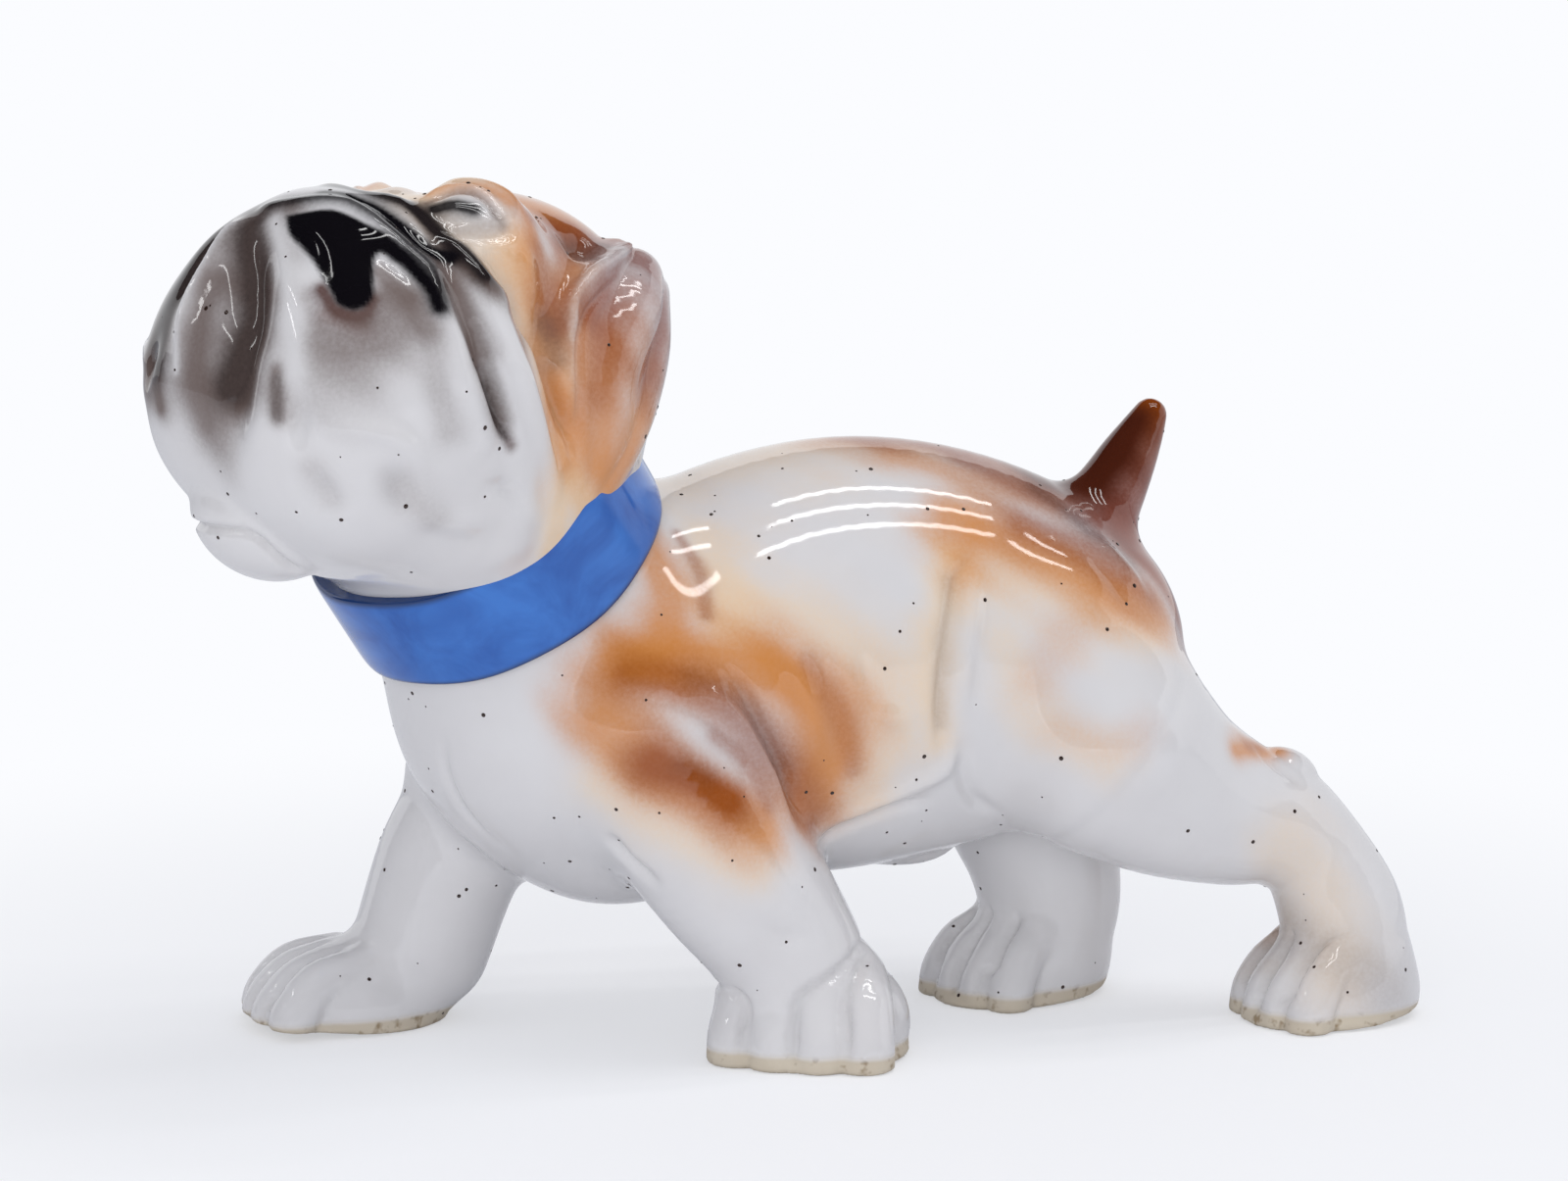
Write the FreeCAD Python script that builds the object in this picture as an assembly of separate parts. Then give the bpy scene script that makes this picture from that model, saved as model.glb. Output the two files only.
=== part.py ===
"""A glazed ceramic dog figurine, built as the castings that a pottery lutes together before the firing.

The dog walks towards -X with its head raised and turned to its left, which is -Y. +Z is up, and the
origin lies on the table under the middle of the overall box. Torso, neck and head are hollow castings
of one wall thickness, open to each other at the neck joint and vented through the belly. Legs, tail
and ears are cast solid and are luted onto them, so each is trimmed to the surface that it sits on.
All sizes are millimetres, and all angles are degrees.
"""

import FreeCAD
import Part

import math
import os

Vector = FreeCAD.Vector
UP = Vector(0, 0, 1)
ALONG = Vector(1, 0, 0)
ACROSS = Vector(0, 1, 0)

# ---- torso ----
wall = 4.0  # cast wall of the hollow pieces
body_length = 109.0  # chest front to rump
body_width = 48.0
body_front = -51.8  # x of the chest front
body_middle = 7.5  # y of the torso's middle plane
back_height = 76.0  # highest point of the back
belly_height = 20.5  # lowest point of the chest and belly
vent_radius = 2.0  # firing vent in the belly
vent_share = 0.56  # its place along the body

# ---- neck and collar ----
neck_radius = 19.6  # where the collar covers the joint
neck_flare = 3.0  # how much wider the neck is at its root
neck_yaw = 32.0  # how far it leans to the dog's left
neck_rise = 52.0  # its slope above the table
neck_base = (0.27, 4.5, 0.37)  # share of body length, y, share of body depth
neck_length = 54.0  # from inside the chest to inside the skull
joint_along = 33.0  # place of the head joint along the neck
collar_width = 14.0
collar_thickness = 1.6
collar_edge = 0.5  # rounding of its two rims

# ---- head: forward, to its left and to its crown, from the middle of the skull ----
skull_offset = Vector(7.0, 4.0, 3.5)  # from the end of the neck's axis
head_yaw = 36.0
head_pitch = 22.0
head_roll = 12.0
head_width = 51.0
ear_length = 29.0
ear_width = 15.0
ear_thickness = 5.0

# ---- legs and tail ----
paw_length = 24.0
paw_width = 22.0
paw_height = 13.0
tail_length = 17.5
tail_radius = 5.2
tail_slope = 60.0

# The torso front to back: share of the length, share of the half width, and its top and bottom as
# shares of the way from the belly to the back.
torso_stations = [
    (0.000, 0.16, 0.50, 0.38),
    (0.025, 0.44, 0.61, 0.22),
    (0.090, 0.72, 0.72, 0.06),
    (0.220, 0.94, 0.82, 0.00),
    (0.370, 1.00, 0.92, 0.00),
    (0.500, 0.98, 0.99, 0.01),
    (0.620, 0.92, 1.00, 0.03),
    (0.740, 0.88, 0.94, 0.09),
    (0.850, 0.82, 0.87, 0.17),
    (0.935, 0.62, 0.74, 0.26),
    (0.980, 0.36, 0.60, 0.34),
    (1.000, 0.14, 0.52, 0.42),
]

# The head back to front: place along the forward axis, share of the half width, top and bottom.
head_stations = [
    (-21.0, 0.16, 4.0, -5.0),
    (-18.5, 0.45, 12.0, -11.0),
    (-11.5, 0.72, 20.0, -17.0),
    (0.0, 0.86, 22.5, -21.0),
    (9.0, 0.93, 20.5, -26.0),
    (16.5, 1.00, 17.5, -32.0),
    (24.0, 0.94, 14.0, -31.5),
    (31.5, 0.73, 8.0, -27.0),
    (36.0, 0.45, 1.0, -20.5),
    (38.5, 0.15, -6.0, -13.5),
]

# The legs. Hip: shares of the body's length, half width and depth. Stride: how far behind the hip
# the paw stands. Spread: how far outside it. Heel: how far behind the paw's middle the ankle is.
# Stations, hip to ankle: share of the way, backward bow, half thickness across, half thickness along.
legs = {
    "left_foreleg": {
        "side": -1,
        "hip": (0.350, 0.62, 0.40),
        "stride": 14.5,
        "spread": 0.5,
        "heel": -2.0,
        "stations": [
            (0.0, 0.0, 9.0, 11.0),
            (0.35, -1.0, 9.5, 11.5),
            (0.7, -0.5, 9.0, 10.5),
            (1.0, 0.0, 7.5, 8.0),
        ],
    },
    "right_foreleg": {
        "side": 1,
        "hip": (0.145, 0.52, 0.42),
        "stride": -18.5,
        "spread": 4.5,
        "heel": 3.5,
        "stations": [
            (0.0, 1.0, 9.0, 10.5),
            (0.35, 2.0, 9.5, 11.0),
            (0.7, 3.0, 9.0, 9.5),
            (1.0, 0.0, 7.5, 8.0),
        ],
    },
    "left_hind_leg": {
        "side": -1,
        "hip": (0.835, 0.47, 0.38),
        "stride": 32.0,
        "spread": 4.0,
        "heel": 1.5,
        "stations": [
            (0.0, 0.0, 11.0, 16.0),
            (0.3, 0.0, 10.5, 14.0),
            (0.58, 2.0, 10.0, 11.0),
            (0.82, 4.5, 9.0, 9.5),
            (1.0, 0.0, 7.5, 8.0),
        ],
    },
    "right_hind_leg": {
        "side": 1,
        "hip": (0.845, 0.47, 0.38),
        "stride": -4.5,
        "spread": -2.0,
        "heel": 4.0,
        "stations": [
            (0.0, 0.0, 11.0, 13.0),
            (0.4, 0.0, 10.0, 11.0),
            (0.7, 0.5, 9.0, 9.5),
            (1.0, 0.0, 7.5, 8.0),
        ],
    },
}

ring_points = 16


def direction(yaw, rise):
    """Unit vector towards the dog's front, turned to its left by yaw and lifted by rise."""
    level = math.cos(math.radians(rise))
    return Vector(
        -math.cos(math.radians(yaw)) * level,
        -math.sin(math.radians(yaw)) * level,
        math.sin(math.radians(rise)),
    )


def ring(centre, side, up, half_width, half_height):
    """A smooth closed outline round centre."""
    points = []
    for i in range(ring_points):
        turn = 2 * math.pi * i / ring_points
        points.append(centre + side * (half_width * math.cos(turn)) + up * (half_height * math.sin(turn)))
    curve = Part.BSplineCurve()
    curve.interpolate(Points=points, PeriodicFlag=True)
    return Part.Wire(curve.toShape())


def loft(wires):
    """A closed solid through the wires."""
    solid = Part.makeLoft(wires, True, False)
    if solid.Volume < 0:
        solid.reverse()
    return solid


def limb(stations):
    """A solid through (centre, half thickness across, half thickness along), square to its path."""
    wires = []
    for i, (centre, across, along) in enumerate(stations):
        before = stations[max(i - 1, 0)][0]
        after = stations[min(i + 1, len(stations) - 1)][0]
        path = (after - before).normalize()
        side = path.cross(ACROSS).normalize()
        wires.append(ring(centre, side.cross(path), side, across, along))
    return loft(wires)


def joined(*solids):
    """One solid out of several that overlap."""
    whole = solids[0]
    for other in solids[1:]:
        whole = whole.fuse(other)
    return whole.removeSplitter()


def body_point(length_share, y, depth_share):
    """A point by shares of the torso's length and depth."""
    return Vector(
        body_front + length_share * body_length,
        body_middle + y,
        belly_height + depth_share * (back_height - belly_height),
    )


# ---- places that several pieces share ----
neck_axis = direction(neck_yaw, neck_rise)
neck_root = body_point(*neck_base)
joint_centre = neck_root + neck_axis * joint_along
head_forward = direction(head_yaw, head_pitch)
head_left = UP.cross(direction(head_yaw, 0))
head_crown = head_forward.cross(head_left)
head_tilt = FreeCAD.Rotation(head_forward, -head_roll)
head_left = head_tilt.multVec(head_left)
head_crown = head_tilt.multVec(head_crown)
skull_centre = neck_root + neck_axis * neck_length + skull_offset


def head_point(forward, left, crown):
    """A point by its place on the head's own axes."""
    return skull_centre + head_forward * forward + head_left * left + head_crown * crown


def torso_form(inset):
    """The torso's solid, with its surface drawn in by inset."""
    wires = []
    for share, half, top, bottom in torso_stations:
        x = body_front + inset + share * (body_length - 2 * inset)
        high = body_point(share, 0, top).z - inset
        low = body_point(share, 0, bottom).z + inset
        width = max(half * body_width / 2 - inset, 1.0)
        centre = Vector(x, body_middle, (high + low) / 2)
        wires.append(ring(centre, ACROSS, UP, width, max((high - low) / 2, 1.0)))
    return loft(wires)


def head_form(inset):
    """Skull and muzzle, with their surface drawn in by inset."""
    back, front = head_stations[0][0], head_stations[-1][0]
    wires = []
    for forward, half, top, bottom in head_stations:
        along = back + inset + (forward - back) * (front - back - 2 * inset) / (front - back)
        width = max(half * head_width / 2 - inset, 1.0)
        height = max((top - bottom) / 2 - inset, 1.0)
        centre = head_point(along, 0, (top + bottom) / 2)
        wires.append(ring(centre, head_left, head_crown, width, height))
    return loft(wires)


def neck_form(inset, start, end):
    """The neck between two places along its axis, a cone that widens towards its root."""
    radii = [neck_radius + neck_flare * (1 - along / joint_along) - inset for along in (start, end)]
    return Part.makeCone(*radii, end - start, neck_root + neck_axis * start, neck_axis)


def beyond_joint(facing):
    """Everything on one side of the plane where the head is luted to the neck."""
    return Part.makeCylinder(3 * head_width, 3 * head_width, joint_centre, neck_axis * facing)


def torso_outside():
    """Torso and lower neck without their cavity: what the limbs are trimmed to."""
    return joined(torso_form(0), neck_form(0, 0, joint_along + 1)).cut(beyond_joint(1))


def head_outside():
    """Head and upper neck without their cavity."""
    return joined(head_form(0), neck_form(0, joint_along - 1, neck_length)).cut(beyond_joint(-1))


def torso_shell(outside):
    """The hollow torso, open at the neck and vented through the belly."""
    cavity = joined(torso_form(wall), neck_form(wall, 2 * wall, joint_along + wall))
    vent_foot = body_point(vent_share, 0, 0) - UP * wall
    vent = Part.makeCylinder(vent_radius, 4 * wall, vent_foot, UP)
    return outside.cut(joined(cavity, vent))


def head_shell(outside):
    """The hollow head, open at the neck."""
    cavity = joined(head_form(wall), neck_form(wall, joint_along - wall, neck_length - wall))
    return outside.cut(cavity)


def collar_band(torso, head):
    """The relief band that hides the joint between neck and head."""
    radius = neck_radius + collar_thickness
    start = joint_centre - neck_axis * (collar_width / 2)
    band = Part.makeCylinder(radius, collar_width, start, neck_axis)
    rims = [edge for edge in band.Edges if len(edge.Vertexes) == 1]
    band = band.makeFillet(collar_edge, rims)
    return band.cut(torso).cut(head)


def ear(side, head, collar):
    """An ear leather that hangs down the side of the skull, trimmed to the skull and the collar."""
    root_height = 19.0
    # place forward, share of the half width, share of the way down, shares of width and thickness
    stations = [
        (-1.0, 0.42, 0.00, 0.55, 0.9),
        (-3.0, 0.80, 0.12, 0.90, 1.0),
        (-4.5, 0.97, 0.40, 1.00, 1.0),
        (-3.5, 0.99, 0.75, 0.85, 0.9),
        (-1.5, 0.93, 1.00, 0.35, 0.6),
    ]
    places = []
    for forward, out, down, _, _ in stations:
        places.append(head_point(forward, side * out * head_width / 2, root_height - down * ear_length))
    wires = []
    for i, (_, _, _, width, thickness) in enumerate(stations):
        path = (places[min(i + 1, len(places) - 1)] - places[max(i - 1, 0)]).normalize()
        outward = head_forward.cross(path).normalize()
        half_width = width * ear_width / 2
        wires.append(ring(places[i], head_forward, outward, half_width, thickness * ear_thickness / 2))
    return loft(wires).cut(head).cut(collar)


def paw(centre):
    """A domed paw with a flat sole on the table."""
    profile = [(0.0, 0.92), (0.22, 1.0), (0.5, 0.97), (0.78, 0.80), (1.0, 0.50)]
    wires = []
    for height, spread in profile:
        middle = centre + UP * (height * paw_height)
        half_length, half_width = spread * paw_length / 2, spread * paw_width / 2
        wires.append(ring(middle, ALONG, ACROSS, half_length, half_width))
    return loft(wires)


def leg(name, torso):
    """A leg with its paw, trimmed to the torso."""
    shape = legs[name]
    side = shape["side"]
    length_share, width_share, depth_share = shape["hip"]
    hip = body_point(length_share, side * width_share * body_width / 2, depth_share)
    sole = Vector(hip.x + shape["stride"], hip.y + side * shape["spread"], 0)
    ankle = sole + Vector(shape["heel"], 0, 0.62 * paw_height)
    way = ankle - hip
    backward = way.cross(ACROSS).normalize()
    stations = []
    for share, bow, across, along in shape["stations"]:
        stations.append((hip + way * share + backward * bow, across, along))
    return joined(limb(stations), paw(sole)).cut(torso)


def tail(torso):
    """A short tail that rises from the rump, trimmed to it."""
    slope = math.radians(tail_slope)
    rise = Vector(math.cos(slope), 0, math.sin(slope))
    root = body_point(0.858, 0, 0.80)
    profile = [(-0.1, 1.15), (0.25, 1.0), (0.6, 0.74), (0.88, 0.48), (1.0, 0.2)]
    stations = []
    for share, thick in profile:
        radius = thick * tail_radius
        stations.append((root + rise * (share * tail_length), radius, radius))
    return limb(stations).cut(torso)


def main():
    torso = torso_outside()
    head = head_outside()
    collar = collar_band(torso, head)
    pieces = {
        "torso_shell": torso_shell(torso),
        "head_shell": head_shell(head),
        "collar_band": collar,
        "left_ear": ear(1, head, collar),
        "right_ear": ear(-1, head, collar),
        "tail": tail(torso),
    }
    for name in legs:
        pieces[name] = leg(name, torso)
    os.makedirs("parts", exist_ok=True)
    for name, shape in pieces.items():
        shape.exportStep(f"parts/{name}.step")
        print(name, len(shape.Solids), shape.isValid(), round(shape.Volume))


main()
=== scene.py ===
import math

import bpy
import numpy as np
import openvdb
from mathutils import Matrix, Vector
from mathutils.bvhtree import BVHTree


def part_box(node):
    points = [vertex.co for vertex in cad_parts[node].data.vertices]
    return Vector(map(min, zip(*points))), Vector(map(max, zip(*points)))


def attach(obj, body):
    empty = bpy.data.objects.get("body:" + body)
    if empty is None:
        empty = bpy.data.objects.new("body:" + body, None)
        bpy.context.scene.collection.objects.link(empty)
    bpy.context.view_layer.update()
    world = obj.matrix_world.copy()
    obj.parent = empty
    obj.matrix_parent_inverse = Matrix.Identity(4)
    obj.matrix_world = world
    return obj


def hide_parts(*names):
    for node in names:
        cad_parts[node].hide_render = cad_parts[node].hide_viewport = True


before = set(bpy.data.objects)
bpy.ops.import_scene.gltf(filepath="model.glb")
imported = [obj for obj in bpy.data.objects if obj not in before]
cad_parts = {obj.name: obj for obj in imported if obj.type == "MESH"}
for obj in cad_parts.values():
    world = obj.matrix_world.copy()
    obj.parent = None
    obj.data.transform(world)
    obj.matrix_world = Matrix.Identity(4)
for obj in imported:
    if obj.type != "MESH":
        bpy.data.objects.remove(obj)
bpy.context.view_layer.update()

# Everything is modelled in mm along the dog's own axes: x from nose to rump, y from its left to its
# right with 0 in its middle plane, z up from the table. home is where those axes start in the frame.
mm = 0.001
rumpReach = 56.2  # how far the rump is from the middle of the dog
tailLow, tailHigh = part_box("tail")
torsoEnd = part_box("torso_shell")[1].x
home = np.array([torsoEnd / mm - rumpReach, (tailLow.y + tailHigh.y) / 2 / mm, 0.0])

clayWork = dict(
    bodyGrain=0.5,
    headGrain=0.42,
    reach=7.0,  # how far round a lump the clay is worked
    empty=9.0,
    smoothing=3,
    steps=[0.5, -0.52],  # each smoothing draws in, then lets out again
    rub=0.5,
    capSink=0.6,  # how far the caps where pieces part sink in, as a share of their radius
)
brushWork = dict(
    standOff=60,  # how far off the brush is held
    lineSteps=4,
    toolReach=2.6,
    wipeReach=1.7,
    seed=7,
    waves=7,
    waveWidth=2.4,
    uneven=0.14,  # how far the edge of a thin coat wanders
    load=1.1,
    blackLoad=1.35,
    falloff=1.6,
    depth=7,  # how deep the painted outlines may curve
)


def unit(v):
    v = np.asarray(v, float)
    return v / np.linalg.norm(v)


def smoothLine(points, steps):
    # a smooth curve through the points
    p = np.asarray(points, float)
    p = np.vstack([2 * p[0] - p[1], p, 2 * p[-1] - p[-2]])
    t = np.arange(steps)[:, None] / steps
    runs = []
    for a, b, c, d in zip(p, p[1:], p[2:], p[3:]):
        run = 2 * b + (c - a) * t + (2 * a - 5 * b + 4 * c - d) * t**2 + (3 * b - a - 3 * c + d) * t**3
        runs.append(run / 2)
    return np.vstack(runs + [p[-2]])


def melt(a, b, soft):
    # joins two distances, with a soft seam
    if soft <= 0:
        return np.minimum(a, b)
    share = np.clip(0.5 + 0.5 * (b - a) / soft, 0, 1)
    return b + (a - b) * share - soft * share * (1 - share)


def ball(centre, radii, axes=((1, 0, 0), (0, 1, 0), (0, 0, 1))):
    centre = np.asarray(centre, np.float32)
    axes = np.asarray(axes, np.float32)
    radii = np.ones(3, np.float32) * np.asarray(radii, np.float32)
    spread = np.sqrt(((axes * radii[:, None]) ** 2).sum(0))

    def distance(x, y, z):
        px, py, pz = x - centre[0], y - centre[1], z - centre[2]
        level = 0
        slope = 0
        for axis, radius in zip(axes, radii):
            u = (px * axis[0] + py * axis[1] + pz * axis[2]) / radius
            level = level + u * u
            slope = slope + (u / radius) ** 2
        level = np.sqrt(level)
        return level * (level - 1) / (np.sqrt(slope) + np.float32(1e-6))

    return [(centre - spread, centre + spread, distance)]


def rope(stations, steps=6):
    # round links along a smooth line of x, y, z and radius
    line = smoothLine(stations, steps).astype(np.float32)
    links = []
    for start, end in zip(line[:-1], line[1:]):
        links.append(link(start[:3], start[3], end[:3], end[3]))
    return links


def link(start, startRadius, end, endRadius):
    run = end - start
    length = run @ run
    thick = max(startRadius, endRadius)

    def distance(x, y, z):
        px, py, pz = x - start[0], y - start[1], z - start[2]
        t = np.clip((px * run[0] + py * run[1] + pz * run[2]) / length, 0, 1)
        gap = (px - t * run[0]) ** 2 + (py - t * run[1]) ** 2 + (pz - t * run[2]) ** 2
        return np.sqrt(gap) - (startRadius + (endRadius - startRadius) * t)

    return np.minimum(start, end) - thick, np.maximum(start, end) + thick, distance


def trunk(stations):
    # upright ellipses along the middle plane: x, z, half height, half width
    lumps = []
    for x, z, tall, wide in smoothLine(stations, 7):
        lumps += ball((x, 0, z), (tall, wide, tall))
    return lumps


def halfSpace(point, normal, size):
    # all that lies beyond a plane, on the side its normal points to
    point = np.asarray(point, np.float32)
    normal = unit(normal).astype(np.float32)

    def distance(x, y, z):
        return -((x - point[0]) * normal[0] + (y - point[1]) * normal[1] + (z - point[2]) * normal[2])

    return [(point - size, point + size, distance)]


def nearness(lumps, points):
    # the distance from each point to the nearest of the lumps
    x, y, z = points.astype(np.float32).T
    near = np.full(len(points), math.inf, np.float32)
    for _, _, distance in lumps:
        np.minimum(near, distance(x, y, z), out=near)
    return near


class Clay:
    # a block of clay: the distance to its skin at every grid point, negative inside
    def __init__(self, low, high, grain):
        self.low = np.array(low, float)
        self.grain = grain
        self.size = np.ceil((np.array(high) - self.low) / grain).astype(int) + 1
        self.field = np.full(self.size, clayWork["empty"], np.float32)

    def window(self, low, high):
        first = np.clip(((low - self.low) / self.grain).astype(int), 0, self.size - 1)
        last = np.clip(((high - self.low) / self.grain).astype(int) + 2, first + 1, self.size)
        where = tuple(slice(a, b) for a, b in zip(first, last))
        steps = [np.arange(a, b) for a, b in zip(first, last)]
        x, y, z = [(start + self.grain * step).astype(np.float32) for start, step in zip(self.low, steps)]
        return where, (x[:, None, None], y[None, :, None], z[None, None, :])

    def press(self, lumps, soft=0.0, carve=False):
        reach = clayWork["reach"]
        lows = np.min([low for low, _, _ in lumps], 0) - reach
        highs = np.max([high for _, high, _ in lumps], 0) + reach
        whole, _ = self.window(lows, highs)
        fresh = np.full([w.stop - w.start for w in whole], clayWork["empty"], np.float32)
        for low, high, distance in lumps:
            where, grid = self.window(low - reach, high + reach)
            inner = tuple(slice(w.start - o.start, w.stop - o.start) for w, o in zip(where, whole))
            np.minimum(fresh[inner], distance(*grid), out=fresh[inner])
        old = self.field[whole]
        if carve:
            self.field[whole] = -melt(-old, fresh, soft)
        else:
            self.field[whole] = melt(old, fresh, soft)

    def skin(self):
        grid = openvdb.FloatGrid(clayWork["empty"])
        grid.copyFromArray(self.field, tolerance=0.0)
        points, quads = grid.convertToQuads(0.0)
        return Skin(points * self.grain + self.low, quads.astype(np.int64))


class Skin:
    # the surface of the clay, tooled and painted
    def __init__(self, points, quads):
        self.points = points.astype(float)
        self.quads = quads
        corners = np.vstack([quads[:, [i, (i + 1) % 4]] for i in range(4)])
        self.edges = np.unique(np.sort(corners, 1), axis=0)
        self.links = np.bincount(self.edges.ravel(), minlength=len(points))
        self.paint = {}
        self.relax(clayWork["smoothing"])
        self.settle()
        self.laid = self.points.copy()  # marks are laid out on the skin as it was before any tool
        self.outward = self.normals.copy()
        self.tree = BVHTree.FromPolygons(self.points.tolist(), quads.tolist())
        # a slow wave over the skin, for the uneven hand that holds the airbrush
        random = np.random.default_rng(brushWork["seed"])
        waves = random.normal(size=(brushWork["waves"], 3)) / brushWork["waveWidth"]
        sway = sum(np.sin(self.points @ wave + k) for k, wave in enumerate(waves))
        self.sway = sway / sway.std()

    def neighbours(self):
        # the middle of the points that each point is linked to
        a, b = self.edges.T
        count = len(self.points)
        middle = np.empty_like(self.points)
        for k in range(3):
            column = self.points[:, k]
            total = np.bincount(a, column[b], count) + np.bincount(b, column[a], count)
            middle[:, k] = total / self.links
        return middle

    def relax(self, times):
        # evens the surface out without shrinking it
        for step in clayWork["steps"] * times:
            self.points += step * (self.neighbours() - self.points)

    def calm(self, weight, times):
        # rubs the marks down where the weight is above nothing
        for _ in range(times):
            self.points += clayWork["rub"] * weight[:, None] * (self.neighbours() - self.points)

    def settle(self):
        # fresh normals for the shading
        p, q = self.points, self.quads
        face = np.cross(p[q[:, 2]] - p[q[:, 0]], p[q[:, 3]] - p[q[:, 1]])
        normals = np.zeros_like(p)
        for i in range(4):
            for k in range(3):
                normals[:, k] += np.bincount(q[:, i], face[:, k], len(p))
        self.normals = normals / np.maximum(np.linalg.norm(normals, axis=1, keepdims=True), 1e-9)

    def drop(self, start, way):
        # where a mark lands that comes from start along way
        spot, _, _, _ = self.tree.ray_cast(Vector(start), Vector(way))
        if spot is None:
            spot, _, _, _ = self.tree.find_nearest(Vector(start) + Vector(way) * brushWork["standOff"])
        return np.array(spot)

    def near(self, line, reach):
        # the points near a line: which they are, how far off, how far along it, and on which side
        low, high = line.min(0) - reach, line.max(0) + reach
        chosen = np.flatnonzero(((self.laid > low) & (self.laid < high)).all(1))
        best = np.full(len(chosen), math.inf)
        along = np.zeros(len(chosen))
        side = np.zeros(len(chosen))
        p = self.laid[chosen]
        n = self.outward[chosen]
        for i, (a, b) in enumerate(zip(line[:-1], line[1:])):
            run = b - a
            t = np.clip((p - a) @ run / max(run @ run, 1e-12), 0, 1)
            off = p - a - t[:, None] * run
            gap = np.linalg.norm(off, axis=1)
            closer = gap < best
            best[closer] = gap[closer]
            along[closer] = (i + t[closer]) / (len(line) - 1)
            side[closer] = (np.cross(run, off) * n).sum(1)[closer]
        keep = best < reach
        return chosen[keep], best[keep], along[keep], side[keep]

    def land(self, line):
        # the nearest places on the skin to a line
        steps = brushWork["lineSteps"]
        return np.array([self.tree.find_nearest(Vector(p))[0] for p in smoothLine(line, steps)])

    def flank(self, places, side):
        # where x, z places land when they are looked at from the dog's left or right
        start = side * brushWork["standOff"]
        steps = brushWork["lineSteps"]
        return np.array([self.drop((x, start, z), (0, -side, 0)) for x, z in smoothLine(places, steps)])

    def back(self, places):
        # where x, y places land when they are looked at from above
        start = 2 * brushWork["standOff"]
        steps = brushWork["lineSteps"]
        return np.array([self.drop((x, y, start), (0, 0, -1)) for x, y in smoothLine(places, steps)])

    def tool(self, line, depth, left, right, fade):
        # raises or presses a mark along a landed line; left and right are its widths on either side
        who, gap, along, side = self.near(line, brushWork["toolReach"] * max(left, right))
        width = np.where(side > 0, left, right)
        ends = np.clip(np.minimum(along, 1 - along) / fade, 0, 1)
        ends = ends * ends * (3 - 2 * ends)
        lift = depth * np.exp(-((gap / width) ** 2)) * ends
        self.points[who] += lift[:, None] * self.outward[who]

    def layer(self, pigment):
        return self.paint.setdefault(pigment, np.zeros(len(self.points)))

    def spray(self, pigment, line, radius, amount):
        # airbrushes a pigment along a line of surface points; black goes on thick
        who, gap, _, _ = self.near(line, radius * 2)
        thick = pigment == "black"
        uneven = 1 if thick else 1 + brushWork["uneven"] * self.sway[who]
        load = brushWork["blackLoad"] if thick else brushWork["load"]
        coat = np.minimum(1, load * np.exp(-((gap * uneven / radius) ** 2) * brushWork["falloff"]))
        coat *= np.clip((2 - gap / radius) * 2, 0, 1)
        layer = self.layer(pigment)
        layer[who] = 1 - (1 - layer[who]) * (1 - amount * coat)

    def fill(self, pigment, ring, amount, soft):
        # paints up to a closed outline of surface points, laid flat on its own plane
        middle = ring.mean(0)
        axes = np.linalg.svd(ring - middle)[2]
        outside = np.array(self.tree.find_nearest(Vector(middle))[1]) @ axes[2]
        around = np.flatnonzero((np.abs(self.laid - middle) < np.ptp(ring, axis=0).max()).all(1))
        facing = self.outward[around] @ axes[2] * np.sign(outside) > 0
        height = (self.laid[around] - middle) @ axes[2]
        who = around[facing & (np.abs(height) < brushWork["depth"])]
        flat = (self.laid[who] - middle) @ axes[:2].T
        corners = (ring - middle) @ axes[:2].T
        inside = np.zeros(len(who), bool)
        gap = np.full(len(who), math.inf)
        for a, b in zip(corners, np.roll(corners, -1, 0)):
            run = b - a
            if not run.any():
                continue
            t = np.clip((flat - a) @ run / (run @ run), 0, 1)
            gap = np.minimum(gap, np.linalg.norm(flat - a - t[:, None] * run, axis=1))
            level = (a[1] > flat[:, 1]) != (b[1] > flat[:, 1])
            slope = run[0] / run[1] if run[1] else 0
            inside ^= level & (flat[:, 0] < a[0] + (flat[:, 1] - a[1]) * slope)
        edge = np.clip(0.5 + np.where(inside, gap, -gap) / (2 * soft), 0, 1)
        layer = self.layer(pigment)
        layer[who] = 1 - (1 - layer[who]) * (1 - amount * edge * edge * (3 - 2 * edge))
        weight, depth = np.zeros((2, len(self.points)))
        weight[who] = edge
        depth[who] = np.where(inside, gap, 0)
        return weight, depth

    def wipe(self, pigment, line, radius, amount):
        # takes a pigment off again along a line
        who, gap, _, _ = self.near(line, radius * brushWork["wipeReach"])
        self.layer(pigment)[who] *= 1 - amount * np.exp(-((gap / radius) ** 2) * brushWork["falloff"])

    def dust(self, pigment, amount):
        layer = self.layer(pigment)
        layer[:] = 1 - (1 - layer) * (1 - amount)


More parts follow.
